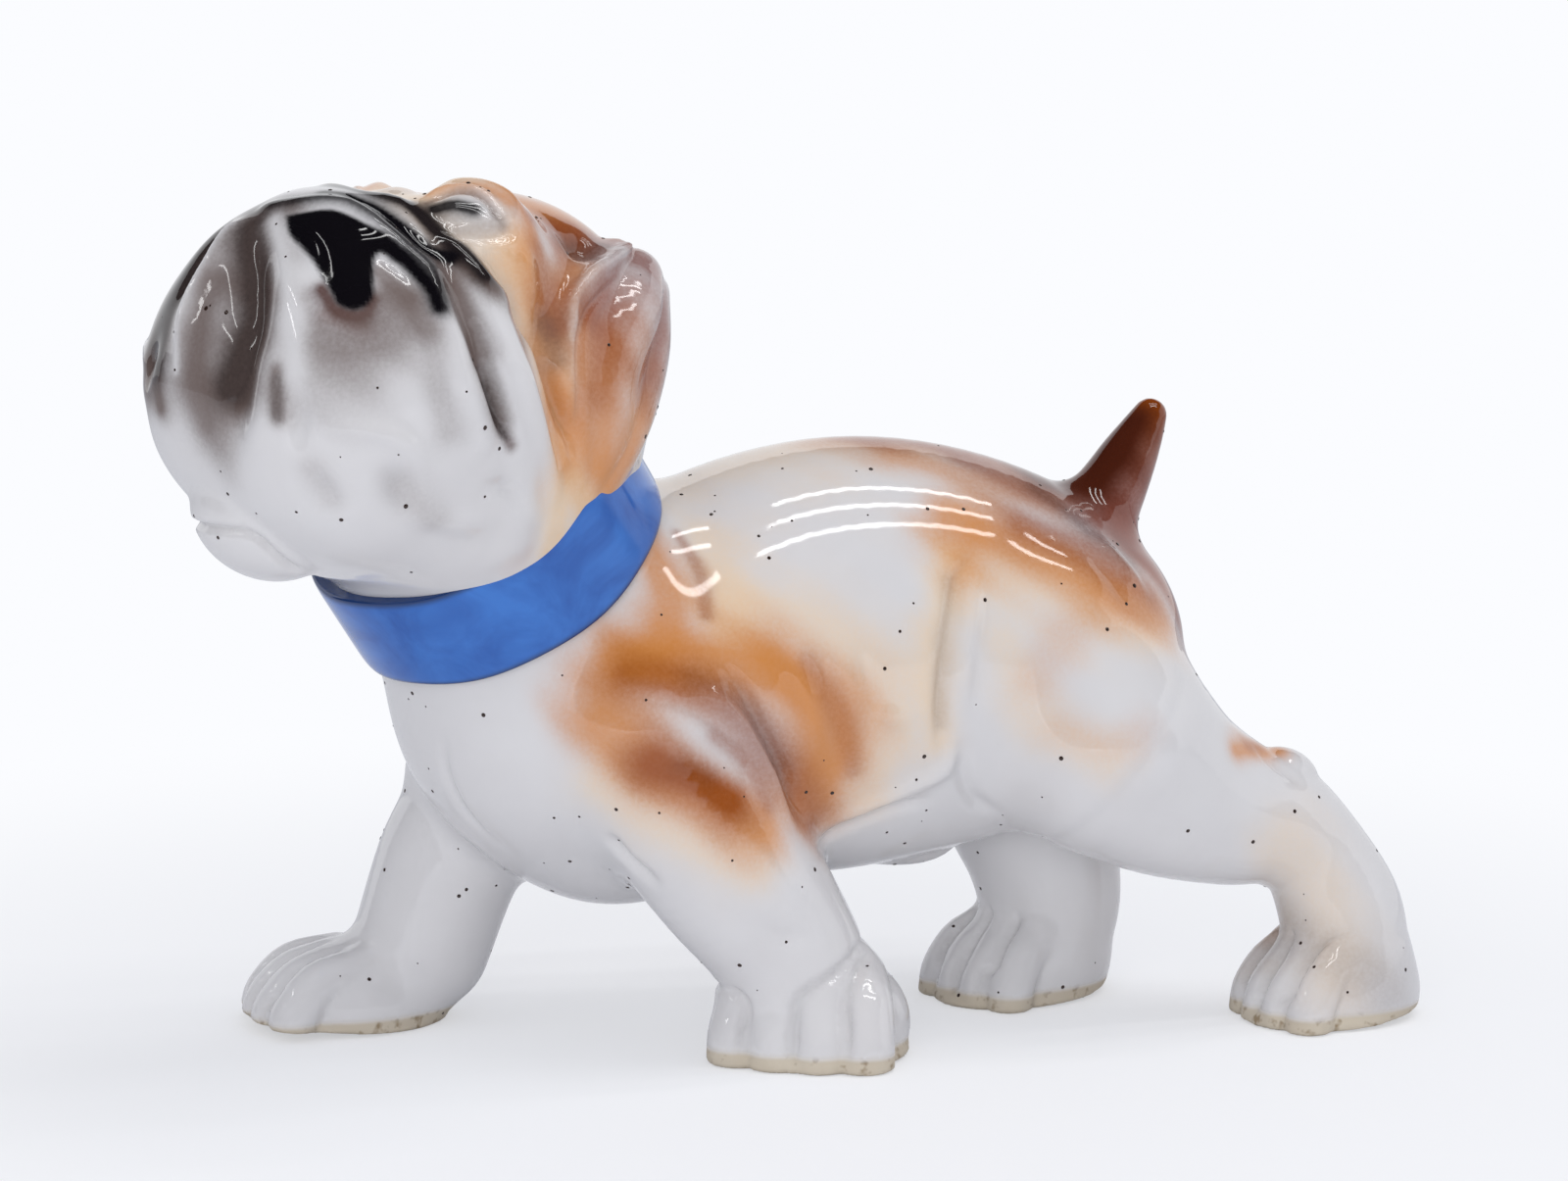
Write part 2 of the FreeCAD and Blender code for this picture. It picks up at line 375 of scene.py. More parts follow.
body = dict(
    block=((-70, -30, -2.5), (88, 32, 82)),
    # x, z, half height and half width of the trunk
    trunk=[
        (-30.0, 43.6, 19.8, 21.0),
        (-14.0, 46.0, 24.0, 24.0),
        (1.0, 47.8, 27.5, 23.5),
        (12.0, 48.7, 27.3, 22.5),
        (24.0, 48.3, 24.4, 21.0),
        (34.0, 47.8, 19.0, 19.5),
    ],
    neckRoot=(-23.4, 4.5, 41.0),
    neckAxis=(-0.522, -0.326, 0.788),
    neckRadius=19.6,
    neck=((-4, 21.5), (8, 21.5), (18, 20.4), (27, 19.7), (36, 19.6)),  # along the axis, and radius
    neckCalm=dict(x=-19, y=16, z=62, reach=8, passes=30),
    jointAlong=33.0,
    jointLap=(0.5, 0.3),  # how far body and head run past the joint, under the collar
    shoulder=((-20, -15.5, 45), (13, 9, 14)),
    rightShoulder=((-29, 15.0, 43), (12, 9, 14)),
    thigh=((30, -11, 47), (17, 11, 17)),
    rightThigh=((29, 11, 46), (15, 10.5, 17)),
    hock=((62.8, -12.5, 30.3), (5.6, 5.0, 5.2)),
    sheath=((16, 0, 22.8), (6.5, 3.4, 2.6)),
    tail=[
        (37, 0, 58, 7.5), (40.5, 0, 63, 5.9), (43.7, 0, 67.8, 4.7), (46.2, 0, 72.2, 3.8),
        (48.1, 0, 75.6, 2.9), (49.3, 0, 77.9, 2.2),
    ],
    legs={
        "left_foreleg": [
            (-22, -13, 42, 13), (-17, -15.5, 33, 12), (-11.5, -16.5, 24, 10.8), (-6, -16.3, 16, 9.6),
            (-2.5, -16, 9, 9.4),
        ],
        "right_foreleg": [(-34, 15, 40, 12), (-37, 16, 28, 10), (-41, 16.5, 20, 9.4), (-44.5, 16.8, 10, 9)],
        "left_hind_leg": [
            (38, -12, 38, 15), (47, -12, 31.5, 12), (55.5, -12, 27.6, 9.8), (62, -12.3, 25.8, 8.4),
            (67.6, -13, 21.3, 7.2), (71, -14, 14.5, 8), (71.8, -14.5, 9, 8.4),
        ],
        "right_hind_leg": [
            (34, 11, 40, 14), (36, 10.5, 28, 12), (38.3, 10, 19.5, 10.3), (39.3, 9.5, 13, 9.5),
            (38.6, 9.3, 8, 9),
        ],
    },
    # middle of the sole, degrees that it turns to the dog's left, length, width, height, and how far
    # heel and toe stand off the table
    paws={
        "left_foreleg": dict(at=(-0.6, -15.5), turn=60, size=(25, 25, 13), heel=1.2, toe=0.0),
        "right_foreleg": dict(at=(-55.0, 17.0), turn=5, size=(27, 21, 11), heel=0.0, toe=2.4),
        "left_hind_leg": dict(at=(69.6, -15.0), turn=12, size=(24.5, 20, 12), heel=1.8, toe=0.0),
        "right_hind_leg": dict(at=(35.0, 8.8), turn=25, size=(26, 20, 12), heel=1.2, toe=0.0),
    },
    soleCut=(13, 13, -3),
    toeGroove=dict(depth=-0.9, left=0.65, right=0.65, fade=0.25),
    bareBelow=2.4,  # the soles are bare clay up to here
    bareFade=0.6,
)


def pawPlaces(at, turn, size):
    # places on a paw, as shares of its length, width and height from the middle of its sole
    length, width, height = size
    forward, across = pawAxes(turn)

    def place(ahead, aside, above):
        flat = forward * length * ahead + across * width * aside
        return np.array([*at, 0]) + flat + (0, 0, height * above)

    return place


def pawAxes(turn):
    # its forward way is the dog's, turned to its left
    angle = math.radians(turn)
    forward = np.array([-math.cos(angle), -math.sin(angle), 0])
    across = np.array([math.sin(angle), -math.cos(angle), 0])
    return forward, across


def paw(at, turn, size, heel, toe):
    # a domed paw with four toes
    length, width, height = size
    forward, across = pawAxes(turn)
    axes = (forward, across, (0, 0, 1))
    middle = np.array([at[0], at[1], 0])
    place = pawPlaces(at, turn, size)

    lumps = ball(place(-0.05, 0, 0.28), (length * 0.46, width * 0.47, height * 0.74), axes)
    lumps += ball(place(0, 0, 0), (length * 0.5, width * 0.48, height * 0.5), axes)
    for share, reach in ((-0.32, 0.88), (-0.11, 1.0), (0.11, 1.0), (0.32, 0.88)):
        run = [
            (*place(-0.02, share * 0.7, 0.72), width * 0.14),
            (*place(0.20 * reach, share * 0.9, 0.60), width * 0.15),
            (*place(0.33 * reach, share, 0.30), width * 0.155),
            (*place(0.355 * reach, share, 0.05), width * 0.16),
        ]
        lumps += rope(run, 4)
    tilt = (heel + toe) / length
    if heel > toe:
        plane = (middle + forward * length * 0.18, -np.array([0, 0, 1]) - forward * tilt)
    else:
        plane = (middle - forward * length * 0.18, -np.array([0, 0, 1]) + forward * tilt)
    return lumps, plane


def neckLine():
    return np.array(body["neckRoot"]), unit(body["neckAxis"])


def modelBody():
    clay = Clay(*body["block"], clayWork["bodyGrain"])
    lumps = dict(torso=trunk(body["trunk"]))
    clay.press(lumps["torso"])
    root, axis = neckLine()
    neck = rope([(*(root + axis * along), radius) for along, radius in body["neck"]])
    lumps["torso"] += neck
    clay.press(neck, soft=6)
    for name in ("shoulder", "rightShoulder"):
        blade = ball(*body[name])
        lumps["torso"] += blade
        clay.press(blade, soft=5)
    for name, leg in (("thigh", "left_hind_leg"), ("rightThigh", "right_hind_leg")):
        lumps[leg] = ball(*body[name])
        clay.press(lumps[leg], soft=3)
    for name, stations in body["legs"].items():
        leg = rope(stations)
        if name == "left_hind_leg":
            leg += ball(*body["hock"])
        lumps[name] = lumps.get(name, []) + leg
        clay.press(leg, soft=4)
    clay.press(ball(*body["sheath"]), soft=1.5)
    lumps["tail"] = rope(body["tail"])
    clay.press(lumps["tail"], soft=3.5)
    for name, shape in body["paws"].items():
        toes, plane = paw(**shape)
        lumps[name] += toes
        clay.press(toes, soft=2.6)
        # the sole is wiped flat only round its own paw
        middle = np.array([*shape["at"], 1.0])
        span = np.array(body["soleCut"])
        clay.press([(middle - span, middle + span, halfSpace(*plane, size=90)[0][2])], soft=0.6, carve=True)
    clay.press(halfSpace((0, 0, 0), (0, 0, -1), size=95), soft=0.5, carve=True)
    joint = root + axis * (body["jointAlong"] + body["jointLap"][0])
    clay.press(halfSpace(joint, axis, size=60), carve=True)
    skin = clay.skin()
    print("body modelled,", len(skin.quads), "faces")
    return skin, lumps


# relief strokes on both flanks, as x, z: height, width ahead or above, width behind or below, share in
# which they fade
bodyStrokes = dict(
    neckWrinkle=([(-20.5, 70), (-17.6, 66.5), (-15.7, 62.3), (-16, 57.4),
        (-18.8, 53.9)], -0.3, 1.6, 1.6, 0.4),
    shoulderBlade=([(-28, 50), (-24, 50.5), (-20, 49)], 0.5, 1.6, 1.6, 0.4),
    shoulderGroove=([(-27, 46.5), (-22, 47), (-17, 44.5), (-13, 40.5)], -0.5, 0.9, 0.9, 0.4),
    armRidge=([(-21, 49), (-15.5, 47), (-11.5, 42.5), (-8.5, 37), (-5, 29)], 1.3, 1.6, 0.9, 0.3),
    armRidge2=([(-17, 51.5), (-13.6, 48.4), (-11.4, 45.4)], 0.5, 0.7, 0.7, 0.4),
    valley=([(-16, 53), (-12, 47), (-9, 41.5), (-6, 36), (-3, 29)], -1.7, 1.0, 1.6, 0.25),
    ribFold=([(-8.6, 57), (-5.5, 50), (-3.5, 43), (-1.6, 36)], 0.8, 1.8, 1.8, 0.35),
    ribGroove=([(-4.4, 57), (-1, 48.2), (0.3, 40.8), (1, 35)], -0.5, 1.3, 1.3, 0.4),
    ribFold2=([(-1.6, 55), (1.4, 48), (2.8, 41)], 0.3, 1.5, 1.5, 0.4),
    ribGroove2=([(1.5, 55.4), (4.1, 48), (5.3, 40.6)], -0.3, 1.2, 1.2, 0.4),
    stifleFold=([(4.5, 44.8), (7, 43.6), (10.5, 42)], 0.5, 1.3, 1.3, 0.5),
    thighEdge=([(20.5, 64), (17, 60.5), (15.2, 54.4), (13.9, 48.3), (13.9, 42.1),
        (15.5, 36)], -1.1, 0.9, 1.0, 0.25),
    thighEdge2=([(19.5, 61), (18, 55), (16.8, 48.6), (17, 42)], 0.7, 1.2, 1.2, 0.35),
    hockFold=([(57, 37), (61, 33.6), (65, 31)], -0.5, 1.0, 1.0, 0.4),
    rumpRidge=([(36.5, 64.5), (40, 61), (44, 55)], 0.6, 1.3, 1.3, 0.4),
    rumpGroove=([(34, 63), (37.5, 59.6), (40.5, 54)], -0.4, 1.2, 1.2, 0.4),
    chestCrease=([(-47.5, 44), (-46.6, 37), (-43.4, 31), (-38, 26)], -0.6, 0.9, 0.9, 0.35),
    armpit=([(-29, 31), (-26, 27), (-22, 23.6)], -0.9, 1.0, 1.0, 0.3),
    tuckUp=([(-3, 25.4), (3, 29), (9, 31.4), (15, 32)], -0.8, 1.0, 1.0, 0.3),
    tuckRidge=([(-2, 28.4), (4, 31.2), (10, 33.6), (15, 36), (17, 40)], 0.7, 1.2, 1.2, 0.3),
    flankFold=([(17, 41), (17.4, 36), (20, 31.6), (25, 28.4)], -0.7, 1.0, 1.0, 0.3),
    wrist=([(-12, 20), (-8, 17.6), (-3, 17)], -0.4, 1.2, 1.2, 0.5),
)
# airbrushed colour on both flanks, as x, z: pigment, places, radius, strength
flankSprays = [
    # neck, shoulder and ribs
    ("ochre", [(-23, 66), (-21, 60), (-22, 55), (-26, 52)], 4.6, 0.75),
    ("rust", [(-18.2, 66.4), (-16.2, 62), (-16.4, 57.4)], 1.2, 0.5),
    ("cream", [(-15, 66), (-13, 60), (-14, 55)], 4.5, 0.5),
    ("ochre", [(-28, 52), (-20, 52), (-12, 51), (-4, 47.5), (-0.5, 41), (-2.5, 34)], 6.4, 0.85),
    ("cream", [(-14, 58), (-4, 56), (4, 50), (7, 43), (4, 34)], 5.5, 0.5),
    ("rust", [(-27, 50.6), (-21, 49.8), (-15, 46.8), (-10, 41.5), (-5.5, 36), (-3, 31)], 3.8, 0.62),
    ("umber", [(-19, 50), (-14.5, 48), (-10.6, 43.6), (-7, 38)], 1.9, 0.2),
    ("ochre", [(-9, 52), (-5, 46), (-1.6, 38)], 3.4, 0.6),
    ("rust", [(-4, 51), (0.5, 44), (2.5, 37)], 1.8, 0.35),
    # upper arm
    ("ochre", [(-30, 45), (-25, 40), (-18, 35.6), (-11, 32)], 5.6, 0.8),
    ("cream", [(-30, 37), (-21, 31), (-12, 27)], 5.0, 0.45),
    ("rust", [(-24, 40), (-19.5, 37.8), (-15, 35)], 3.8, 0.9),
    ("rust", [(-16.5, 43), (-12.4, 39.4), (-9.6, 34)], 1.8, 0.45),
    ("umber", [(-21, 39.6), (-17.6, 38)], 2.0, 0.2),
    # front of the thigh
    ("ochre", [(20, 66), (17, 61)], 3.0, 0.4),
    ("grey", [(15.4, 60), (13.6, 50), (14, 42)], 1.3, 0.22),
    ("cream", [(16, 62), (12.6, 50), (13.6, 40)], 3.4, 0.55),
    # haunch
    ("cream", [(19, 62), (30, 59), (42, 53)], 6.0, 0.5),
    ("ochre", [(17, 67), (25, 64), (34, 59.6), (45, 54)], 5.2, 0.75),
    ("rust", [(27, 66), (35, 62.6), (43.6, 57)], 4.2, 0.6),
    ("umber", [(31, 69.5), (36, 65.6), (41.6, 60.5)], 2.8, 0.45),
    ("ochre", [(37, 57), (31, 53.6), (26, 47.5)], 3.6, 0.22),
    ("ochre", [(29, 41.5), (34, 39.4), (38, 40.6)], 3.0, 0.18),
    ("cream", [(22, 52), (26, 43), (34, 38)], 4.0, 0.35),
    # hock and paw
    ("ochre", [(54, 36.8), (58, 36.2), (62, 35.2)], 2.3, 0.8),
    ("rust", [(56.5, 36.8), (60, 36.2)], 1.3, 0.4),
    ("cream", [(61, 24), (66, 18), (67, 8)], 7.0, 0.35),
    ("ochre", [(61, 17), (63, 11)], 4.5, 0.3),
    ("grey", [(62, 12), (70, 8), (74, 5)], 5.5, 0.26),
]
# the same from above, as x, y
backSprays = [
    ("cream", [(-14, 0), (0, 0), (14, 0), (26, 0)], 14.0, 0.42),
    ("ochre", [(8, 0), (20, 0), (32, 0)], 8.5, 0.5),
    ("ochre", [(12, -8), (22, -10), (32, -10)], 4.5, 0.5),
    ("ochre", [(12, 8), (22, 10), (32, 10)], 4.5, 0.5),
    ("plum", [(12, 0), (22, 0), (32, 0), (38, 0)], 7.5, 0.75),
    ("plum", [(22, -6), (31, -9), (38, -9)], 5.5, 0.6),
    ("plum", [(22, 6), (31, 9), (38, 9)], 5.5, 0.6),
    ("umber", [(33, -3), (36, 0), (33, 3)], 4.5, 0.7),
]


def workBody(skin):
    for places, height, ahead, behind, fade in bodyStrokes.values():
        for side in (-1, 1):
            widths = (ahead, behind) if side < 0 else (behind, ahead)
            skin.tool(skin.flank(places, side), height, *widths, fade)
    for shape in body["paws"].values():
        workPaw(skin, pawPlaces(shape["at"], shape["turn"], shape["size"]))
    for pigment, places, radius, strength in flankSprays:
        for side in (-1, 1):
            skin.spray(pigment, skin.flank(places, side), radius, strength)
    for pigment, places, radius, strength in backSprays:
        skin.spray(pigment, skin.back(places), radius, strength)
    tail = np.array(body["tail"])[:, :3]
    for side in (-1, 1):
        rump = skin.land([(44, side * 8, 62), (49, side * 9, 56), (52, side * 9, 50)])
        tailRoot = skin.land([(42, side * 5, 65), (47, side * 5, 60)])
        skin.spray("rust", rump, 5.0, 0.85)
        skin.spray("plum", tailRoot, 5.0, 0.8)
    skin.spray("rust", tail[1:], 9.0, 1.0)
    skin.spray("umber", tail[1:] + (-3.0, -2.5, 1), 5.6, 1.0)
    skin.spray("plum", tail[:3], 10.5, 0.8)
    skin.wipe("umber", tail[-1:] + [(0, 0, 2), (1, 0, 2.5)], 2.2, 0.8)
    # the thumb smooths the neck into the shoulders
    thumb = body["neckCalm"]
    for side in (-1, 1):
        gap = np.linalg.norm(skin.laid - (thumb["x"], side * thumb["y"], thumb["z"]), axis=1)
        passes = round(thumb["passes"] / clayWork["bodyGrain"] ** 2)
        skin.calm(np.exp(-((gap / thumb["reach"]) ** 2)), passes)
    skin.settle()


def workPaw(skin, place):
    # three grooves part the toes
    for share in (-0.23, 0.0, 0.23):
        groove = [
            place(-0.02, share * 0.8, 0.95),
            place(0.22, share, 0.8),
            place(0.44, share * 1.1, 0.45),
            place(0.52, share * 1.1, 0.1),
        ]
        skin.tool(skin.land(groove), **body["toeGroove"])


# places in the head's frame are forward, left and crownward of the skull's middle; shapes are a place
# and radii, runs are places with a radius each
head = dict(
    block=((-86, -46, 50), (-14, 24, 113)),
    centre=(-42.3, -8.4, 85.3),
    yaw=36.0,
    pitch=22.0,
    roll=12.0,
    skull=[((0, 0, 0), (22.3, 22.3, 23.8)), ((17.5, 0, -7), (23.2, 23.8, 22.6))],
    brows=[((17, 8, 12), (10.5, 8.5, 9.5)), ((15, -8, 9), (10, 8, 8.6))],
    neck=(28, 36, 44, 52),
    neckRadius=19.3,
    flew=((23.5, 8.5, -8), (16.3, 13.8, 18)),
    jowl=((6, 12.0, -13), (13, 10.5, 10.5)),
    cushion=((27, 5.5, 1), (12, 10, 9.5)),
    nose=((28.6, 1.8, 8.3), (9, 11, 5.6)),
    chin=((22.6, -1, -24.4), (9, 10, 8.2)),
    # the big fold hangs from above the nose down the side of the face
    bigFold=[
        (23, 0, 13.2, 3.8), (24, 8, 11.5, 4.1), (24, 14.6, 8.2, 4.3), (20.5, 18.5, 3, 4.5),
        (15, 19.5, -3, 4.5), (10, 19.5, -9, 4.5), (6, 18, -16, 4.5),
    ],
    # the narrow one lies round the wing of the nose
    narrowFold=[
        (28, 2, 13.6, 1.6), (30, 9, 11.8, 2), (29.5, 15, 7, 2.2), (27.5, 19, 2, 2.4),
        (24, 21.3, -3, 2.4), (19, 22, -7, 2),
    ],
    foldDrop=0.34,  # the right folds sink by this share of their distance from the middle
    browDrop=3.5,  # the right brow lies this much lower
    browFoot=10,  # where the brow starts, crownward
    browRise=5,
    # an ear's leather: a front roll, a thick middle and a rear edge
    ear=[
        [(-4, 10, 20, 3), (3, 14, 16, 3), (7.3, 16.7, 9.4, 3), (5, 19, 2, 2.8), (-0.5, 19.7, -6, 2.4)],
        [(-7, 11, 19, 4), (-3.6, 15, 14.6, 4.6), (-1, 17.3, 7, 4.8), (-3, 18.3, 0, 4.4), (-3, 19, -7, 3)],
        [(-9.4, 11.5, 18, 3.4), (-9.4, 14.5, 12, 3.7), (-8.8, 16.2, 6, 4), (-7.6, 18, 0, 3.6),
            (-6, 19, -6, 2.8)],
    ],
    # the line of each ear's crest, where a painted highlight is wiped into the brown
    earCrest=[(0, 13.6, 20), (2.5, 14.8, 18.4), (5.8, 16.3, 16), (8.6, 17.9, 12.3), (8.4, 19.9, 8.4)],
    # crests beside the philtrum where the paint is wiped back to the white glaze as painted highlights, and
    # how wide
    paintedHighlightCrests=[
        ([(37.5, -2.5, 6.5), (38.6, 1.3, 3.7), (40, 6.3, -0.4), (40.1, 9, -4.3), (39.6, 11.6, -8.6)], 1.9),
        ([(38.4, -8.2, 4.3), (39.8, -8.2, -0.6), (40.4, -8.4, -6.5), (39.9, -6.8, -13.6)], 0.8),
    ],
    noseSwell=1.1,
    noseRound=3.2,  # how far in from its outline the nose goes on swelling
    darkAbove=90,  # dark paint is smoothed above this height
    calmPasses=(24, 3),  # on the nose, and on all dark paint
)


def headAxes():
    yaw, pitch, roll = (math.radians(head[turn]) for turn in ("yaw", "pitch", "roll"))
    flat = math.cos(pitch)
    forward = np.array([-math.cos(yaw) * flat, -math.sin(yaw) * flat, math.sin(pitch)])
    level = np.array([math.sin(yaw), -math.cos(yaw), 0])
    crown = np.cross(forward, level)
    left = level * math.cos(roll) - crown * math.sin(roll)
    return np.array([forward, left, np.cross(forward, left)])


headFrame = headAxes()


def inHead(places):
    # from the head's frame to the dog's axes; a radius stays as it is
    places = np.atleast_2d(np.asarray(places, float))
    spots = np.array(head["centre"]) + places[:, :3] @ headFrame
    return np.hstack([spots, places[:, 3:]])


def onSide(places, side):
    # the same places on the left (1) or the right (-1)
    return [(forward, side * left, *rest) for forward, left, *rest in places]


def headBall(shape, side=1):
    place, radii = shape
    return ball(inHead(onSide([place], side))[0], radii, headFrame)


def headRope(stations, side):
    return rope(inHead(onSide(stations, side)))


# relief strokes in the head's frame: places (forward, left, crownward), height, width on the left of
# the stroke and on its right, share of its length in which it fades at each end, both sides or not
headStrokes = dict(
    noseRim=([(36.8, -7.6, 6.8), (37, -5.1, 8.1), (37.3, -1.9, 9.3), (36.5, 1.6, 10.8), (35.3, 4.3, 11.4),
        (34.7, 6.9, 11), (34, 8.9, 10.3), (32.3, 11.9, 9.6), (31.4, 15.1, 8.5), (30.8, 17.2, 6.8),
        (29.9, 19.3, 4.6)], 0.9, 0.9, 0.9, 0.08, False),
    rimGroove=([(35.2, 2.2, 11.9), (33.4, 3.4, 12.8), (32.8, 5.6, 12.5), (32.3, 8.9, 11.8),
        (31.7, 12.2, 11), (30, 14.2, 10.6), (27.8, 15.2, 10.6)], -0.9, 1.1, 1.1, 0.2, False),
    nosePad=([(37.2, 1.4, 7.8), (36.4, 4.6, 8.4), (35, 7.6, 8.2)], 0.3, 2.4, 2.4, 0.4, False),
    nostril=([(35, 9.5, 8.3), (33.3, 12.4, 7.4), (31.6, 15.7, 7.1),
        (30.8, 17.7, 6.1)], -1.0, 0.8, 0.8, 0.3, False),
    roll=([(31, -2, 13.8), (29.6, 3.5, 14.2), (28.4, 8.2, 14), (27.4, 12.2, 12.9), (26.3, 16.1, 11.6),
        (23.9, 19, 10), (20.7, 19.1, 9), (16.2, 18.6, 7.3)], 0.7, 1.0, 1.0, 0.2, True),
    rollLine=([(31, 6.5, 13.7), (30, 11.3, 12.8), (27.6, 13.8, 11.8),
        (26.3, 17.9, 9.9)], -0.4, 0.5, 0.5, 0.3, True),
    slit=([(28.3, 17.8, 7.8), (25, 21.3, 3.5), (21.7, 23, -0.4), (18, 23.8, -4),
        (13.5, 24, -7.5)], -2.0, 0.9, 0.9, 0.35, True),
    slitLip=([(24, 22, 4.5), (20.5, 23.5, 0.8), (16.5, 24, -3), (12, 24, -6.6)], 0.45, 1.1, 1.1, 0.3, True),
    foldEdge=([(25.5, 14, 12.8), (22.1, 15.8, 12.7), (18.3, 17.3, 10), (15.7, 18.4, 7.4), (13, 19.1, 5.8),
        (11.2, 20, 3.7), (8.9, 20.7, 1.5), (6.6, 21.6, -0.6), (4.6, 22.2, -2.3),
        (1.6, 22.7, -5.7)], -1.3, 1.5, 0.6, 0.15, True),
    foldCrest=([(22, 21.6, 6), (17, 23, 1.6), (11.5, 23.2, -2.6), (5.5, 22.8, -7.5),
        (2.5, 22.5, -12)], 1.0, 1.7, 1.7, 0.3, True),
    philtrum=([(38.2, -5.3, 5.2), (39.3, -2.5, 2.4), (39.9, 0.1, -0.8), (40.7, 3, -5.1), (40.7, 4, -9.5),
        (40.1, 4.6, -13), (38.3, 4.7, -17.5), (34, 3.6, -23)], -1.3, 2.1, 2.1, 0.25, False),
    farRidge=([(36.8, -8, 6.8), (38.5, -8, 3.4), (39.8, -7.8, -0.3), (40.2, -8.3, -4), (40.6, -8.2, -7),
        (39.9, -6.8, -13.6)], 1.2, 1.1, 1.1, 0.2, False),
    farCrease=([(35, -12.4, 6), (38, -10.8, 0), (38.8, -10.6, -8)], -1.1, 1.1, 1.1, 0.3, False),
    nearRidge=([(37.5, -2.5, 6.5), (38.6, 1.3, 3.7), (40, 6.5, -0.4), (40, 10.1, -4.3), (39.2, 13, -8.2),
        (37.3, 15.7, -11.7)], 0.4, 2.4, 2.4, 0.4, False),
    noseCorner=([(37.6, -0.8, 6.6), (38.5, 3, 4.9), (38.9, 6.7, 3.2),
        (38.7, 9.2, 1.6)], -0.3, 1.2, 1.2, 0.4, False),
    flewDent=([(39.6, 12, -9), (38, 13.4, -13.8), (36, 14, -18)], -0.9, 1.4, 1.4, 0.5, True),
    lowDent=([(31, 20.4, -13.6), (26.6, 21.4, -16), (21.5, 21.1, -18.4)], -1.3, 1.9, 1.9, 0.5, True),
    chinDent=([(35.6, 15.3, -17.2), (32, 16.3, -20.1), (28.6, 16.7, -22)], -0.9, 1.7, 1.7, 0.5, True),
    flewEdge=([(37.6, 14.5, -14.4), (33.5, 19.2, -11.8), (29, 21.9, -11.4),
        (22, 22.5, -14)], 0.8, 1.3, 1.3, 0.4, True),
    flewRoll=([(24.5, 21.5, -18), (18, 21.5, -17.5), (10, 22, -15)], 0.7, 1.8, 1.8, 0.4, True),
    jowlCrease=([(17.5, 22.8, -12), (12, 23.4, -11), (6, 23, -13)], -0.7, 1.2, 1.2, 0.5, True),
    lip=([(20, -10, -29), (25.4, -6.7, -27.8), (28.2, -1, -27.6), (27.8, 4, -27.1), (24.2, 6.4, -29.1),
        (20.1, 7, -30.3)], -0.9, 0.5, 0.5, 0.15, False),
    eyeball=([(26.9, 8.6, 15.4), (25.6, 10.4, 16.7), (23.8, 12, 17.6)], 0.7, 1.3, 1.3, 0.5, True),
    upperLid=([(26.8, 7.5, 15.7), (25.2, 8, 17.9), (23.6, 9.3, 19.2), (22.3, 11.4, 19.2), (21.7, 13, 18.3),
        (20.7, 14.3, 17.4)], -0.6, 0.5, 0.5, 0.2, True),
    lowerLid=([(27.4, 8.4, 14.6), (26.7, 10.6, 14.6), (25.3, 12.2, 15.7),
        (23.6, 13.2, 17)], -0.6, 0.5, 0.5, 0.2, True),
    lidRoll=([(27.6, 6, 16.4), (25.4, 6.4, 18.7), (23.2, 9, 20),
        (20.5, 12.6, 19.2)], 0.5, 0.7, 0.7, 0.3, True),
    socket=([(27.4, 5, 15.2), (28.6, 8.5, 13.8), (27.3, 11.8, 13.4), (23.8, 14.2, 14.8), (20.6, 15, 16.4),
        (19.4, 13.8, 18.6)], -0.9, 0.9, 0.9, 0.2, True),
    brow=([(24, 3, 18), (21.5, 6, 20.6), (18.6, 10, 21), (16.8, 13.6, 18.8)], 0.6, 1.4, 1.4, 0.3, True),
    cheekRoll=([(19, 14.5, 16.5), (16.6, 16.2, 14.6), (14, 17, 11.4),
        (11.5, 18, 8)], 0.5, 1.2, 1.2, 0.4, True),
    earHollow=([(8, 12, 18.4), (4.5, 12, 19.8), (1.5, 12, 21)], -1.6, 2.1, 2.1, 0.4, True),
    earFold=([(-3.6, 11.5, 22.2), (-1, 13, 20.6), (2.5, 14.8, 18.4), (5.8, 16.3, 16), (8.6, 17.9, 12.3),
        (8.4, 19.9, 8.4)], 1.3, 0.8, 0.8, 0.12, True),
    earCrease=([(-1, 14.4, 19), (3.5, 16.8, 15.4), (6.6, 18.5, 11.6), (6.8, 20.6, 7), (4.4, 22.2, 0.9),
        (2.1, 22.5, -3.3)], -0.6, 0.7, 0.7, 0.25, True),
    cheekLine=([(13, 18.6, 8), (9.8, 20.6, 3.4), (6.4, 22, -1.6),
        (3.6, 22.6, -7)], -0.4, 0.7, 0.7, 0.4, True),
)
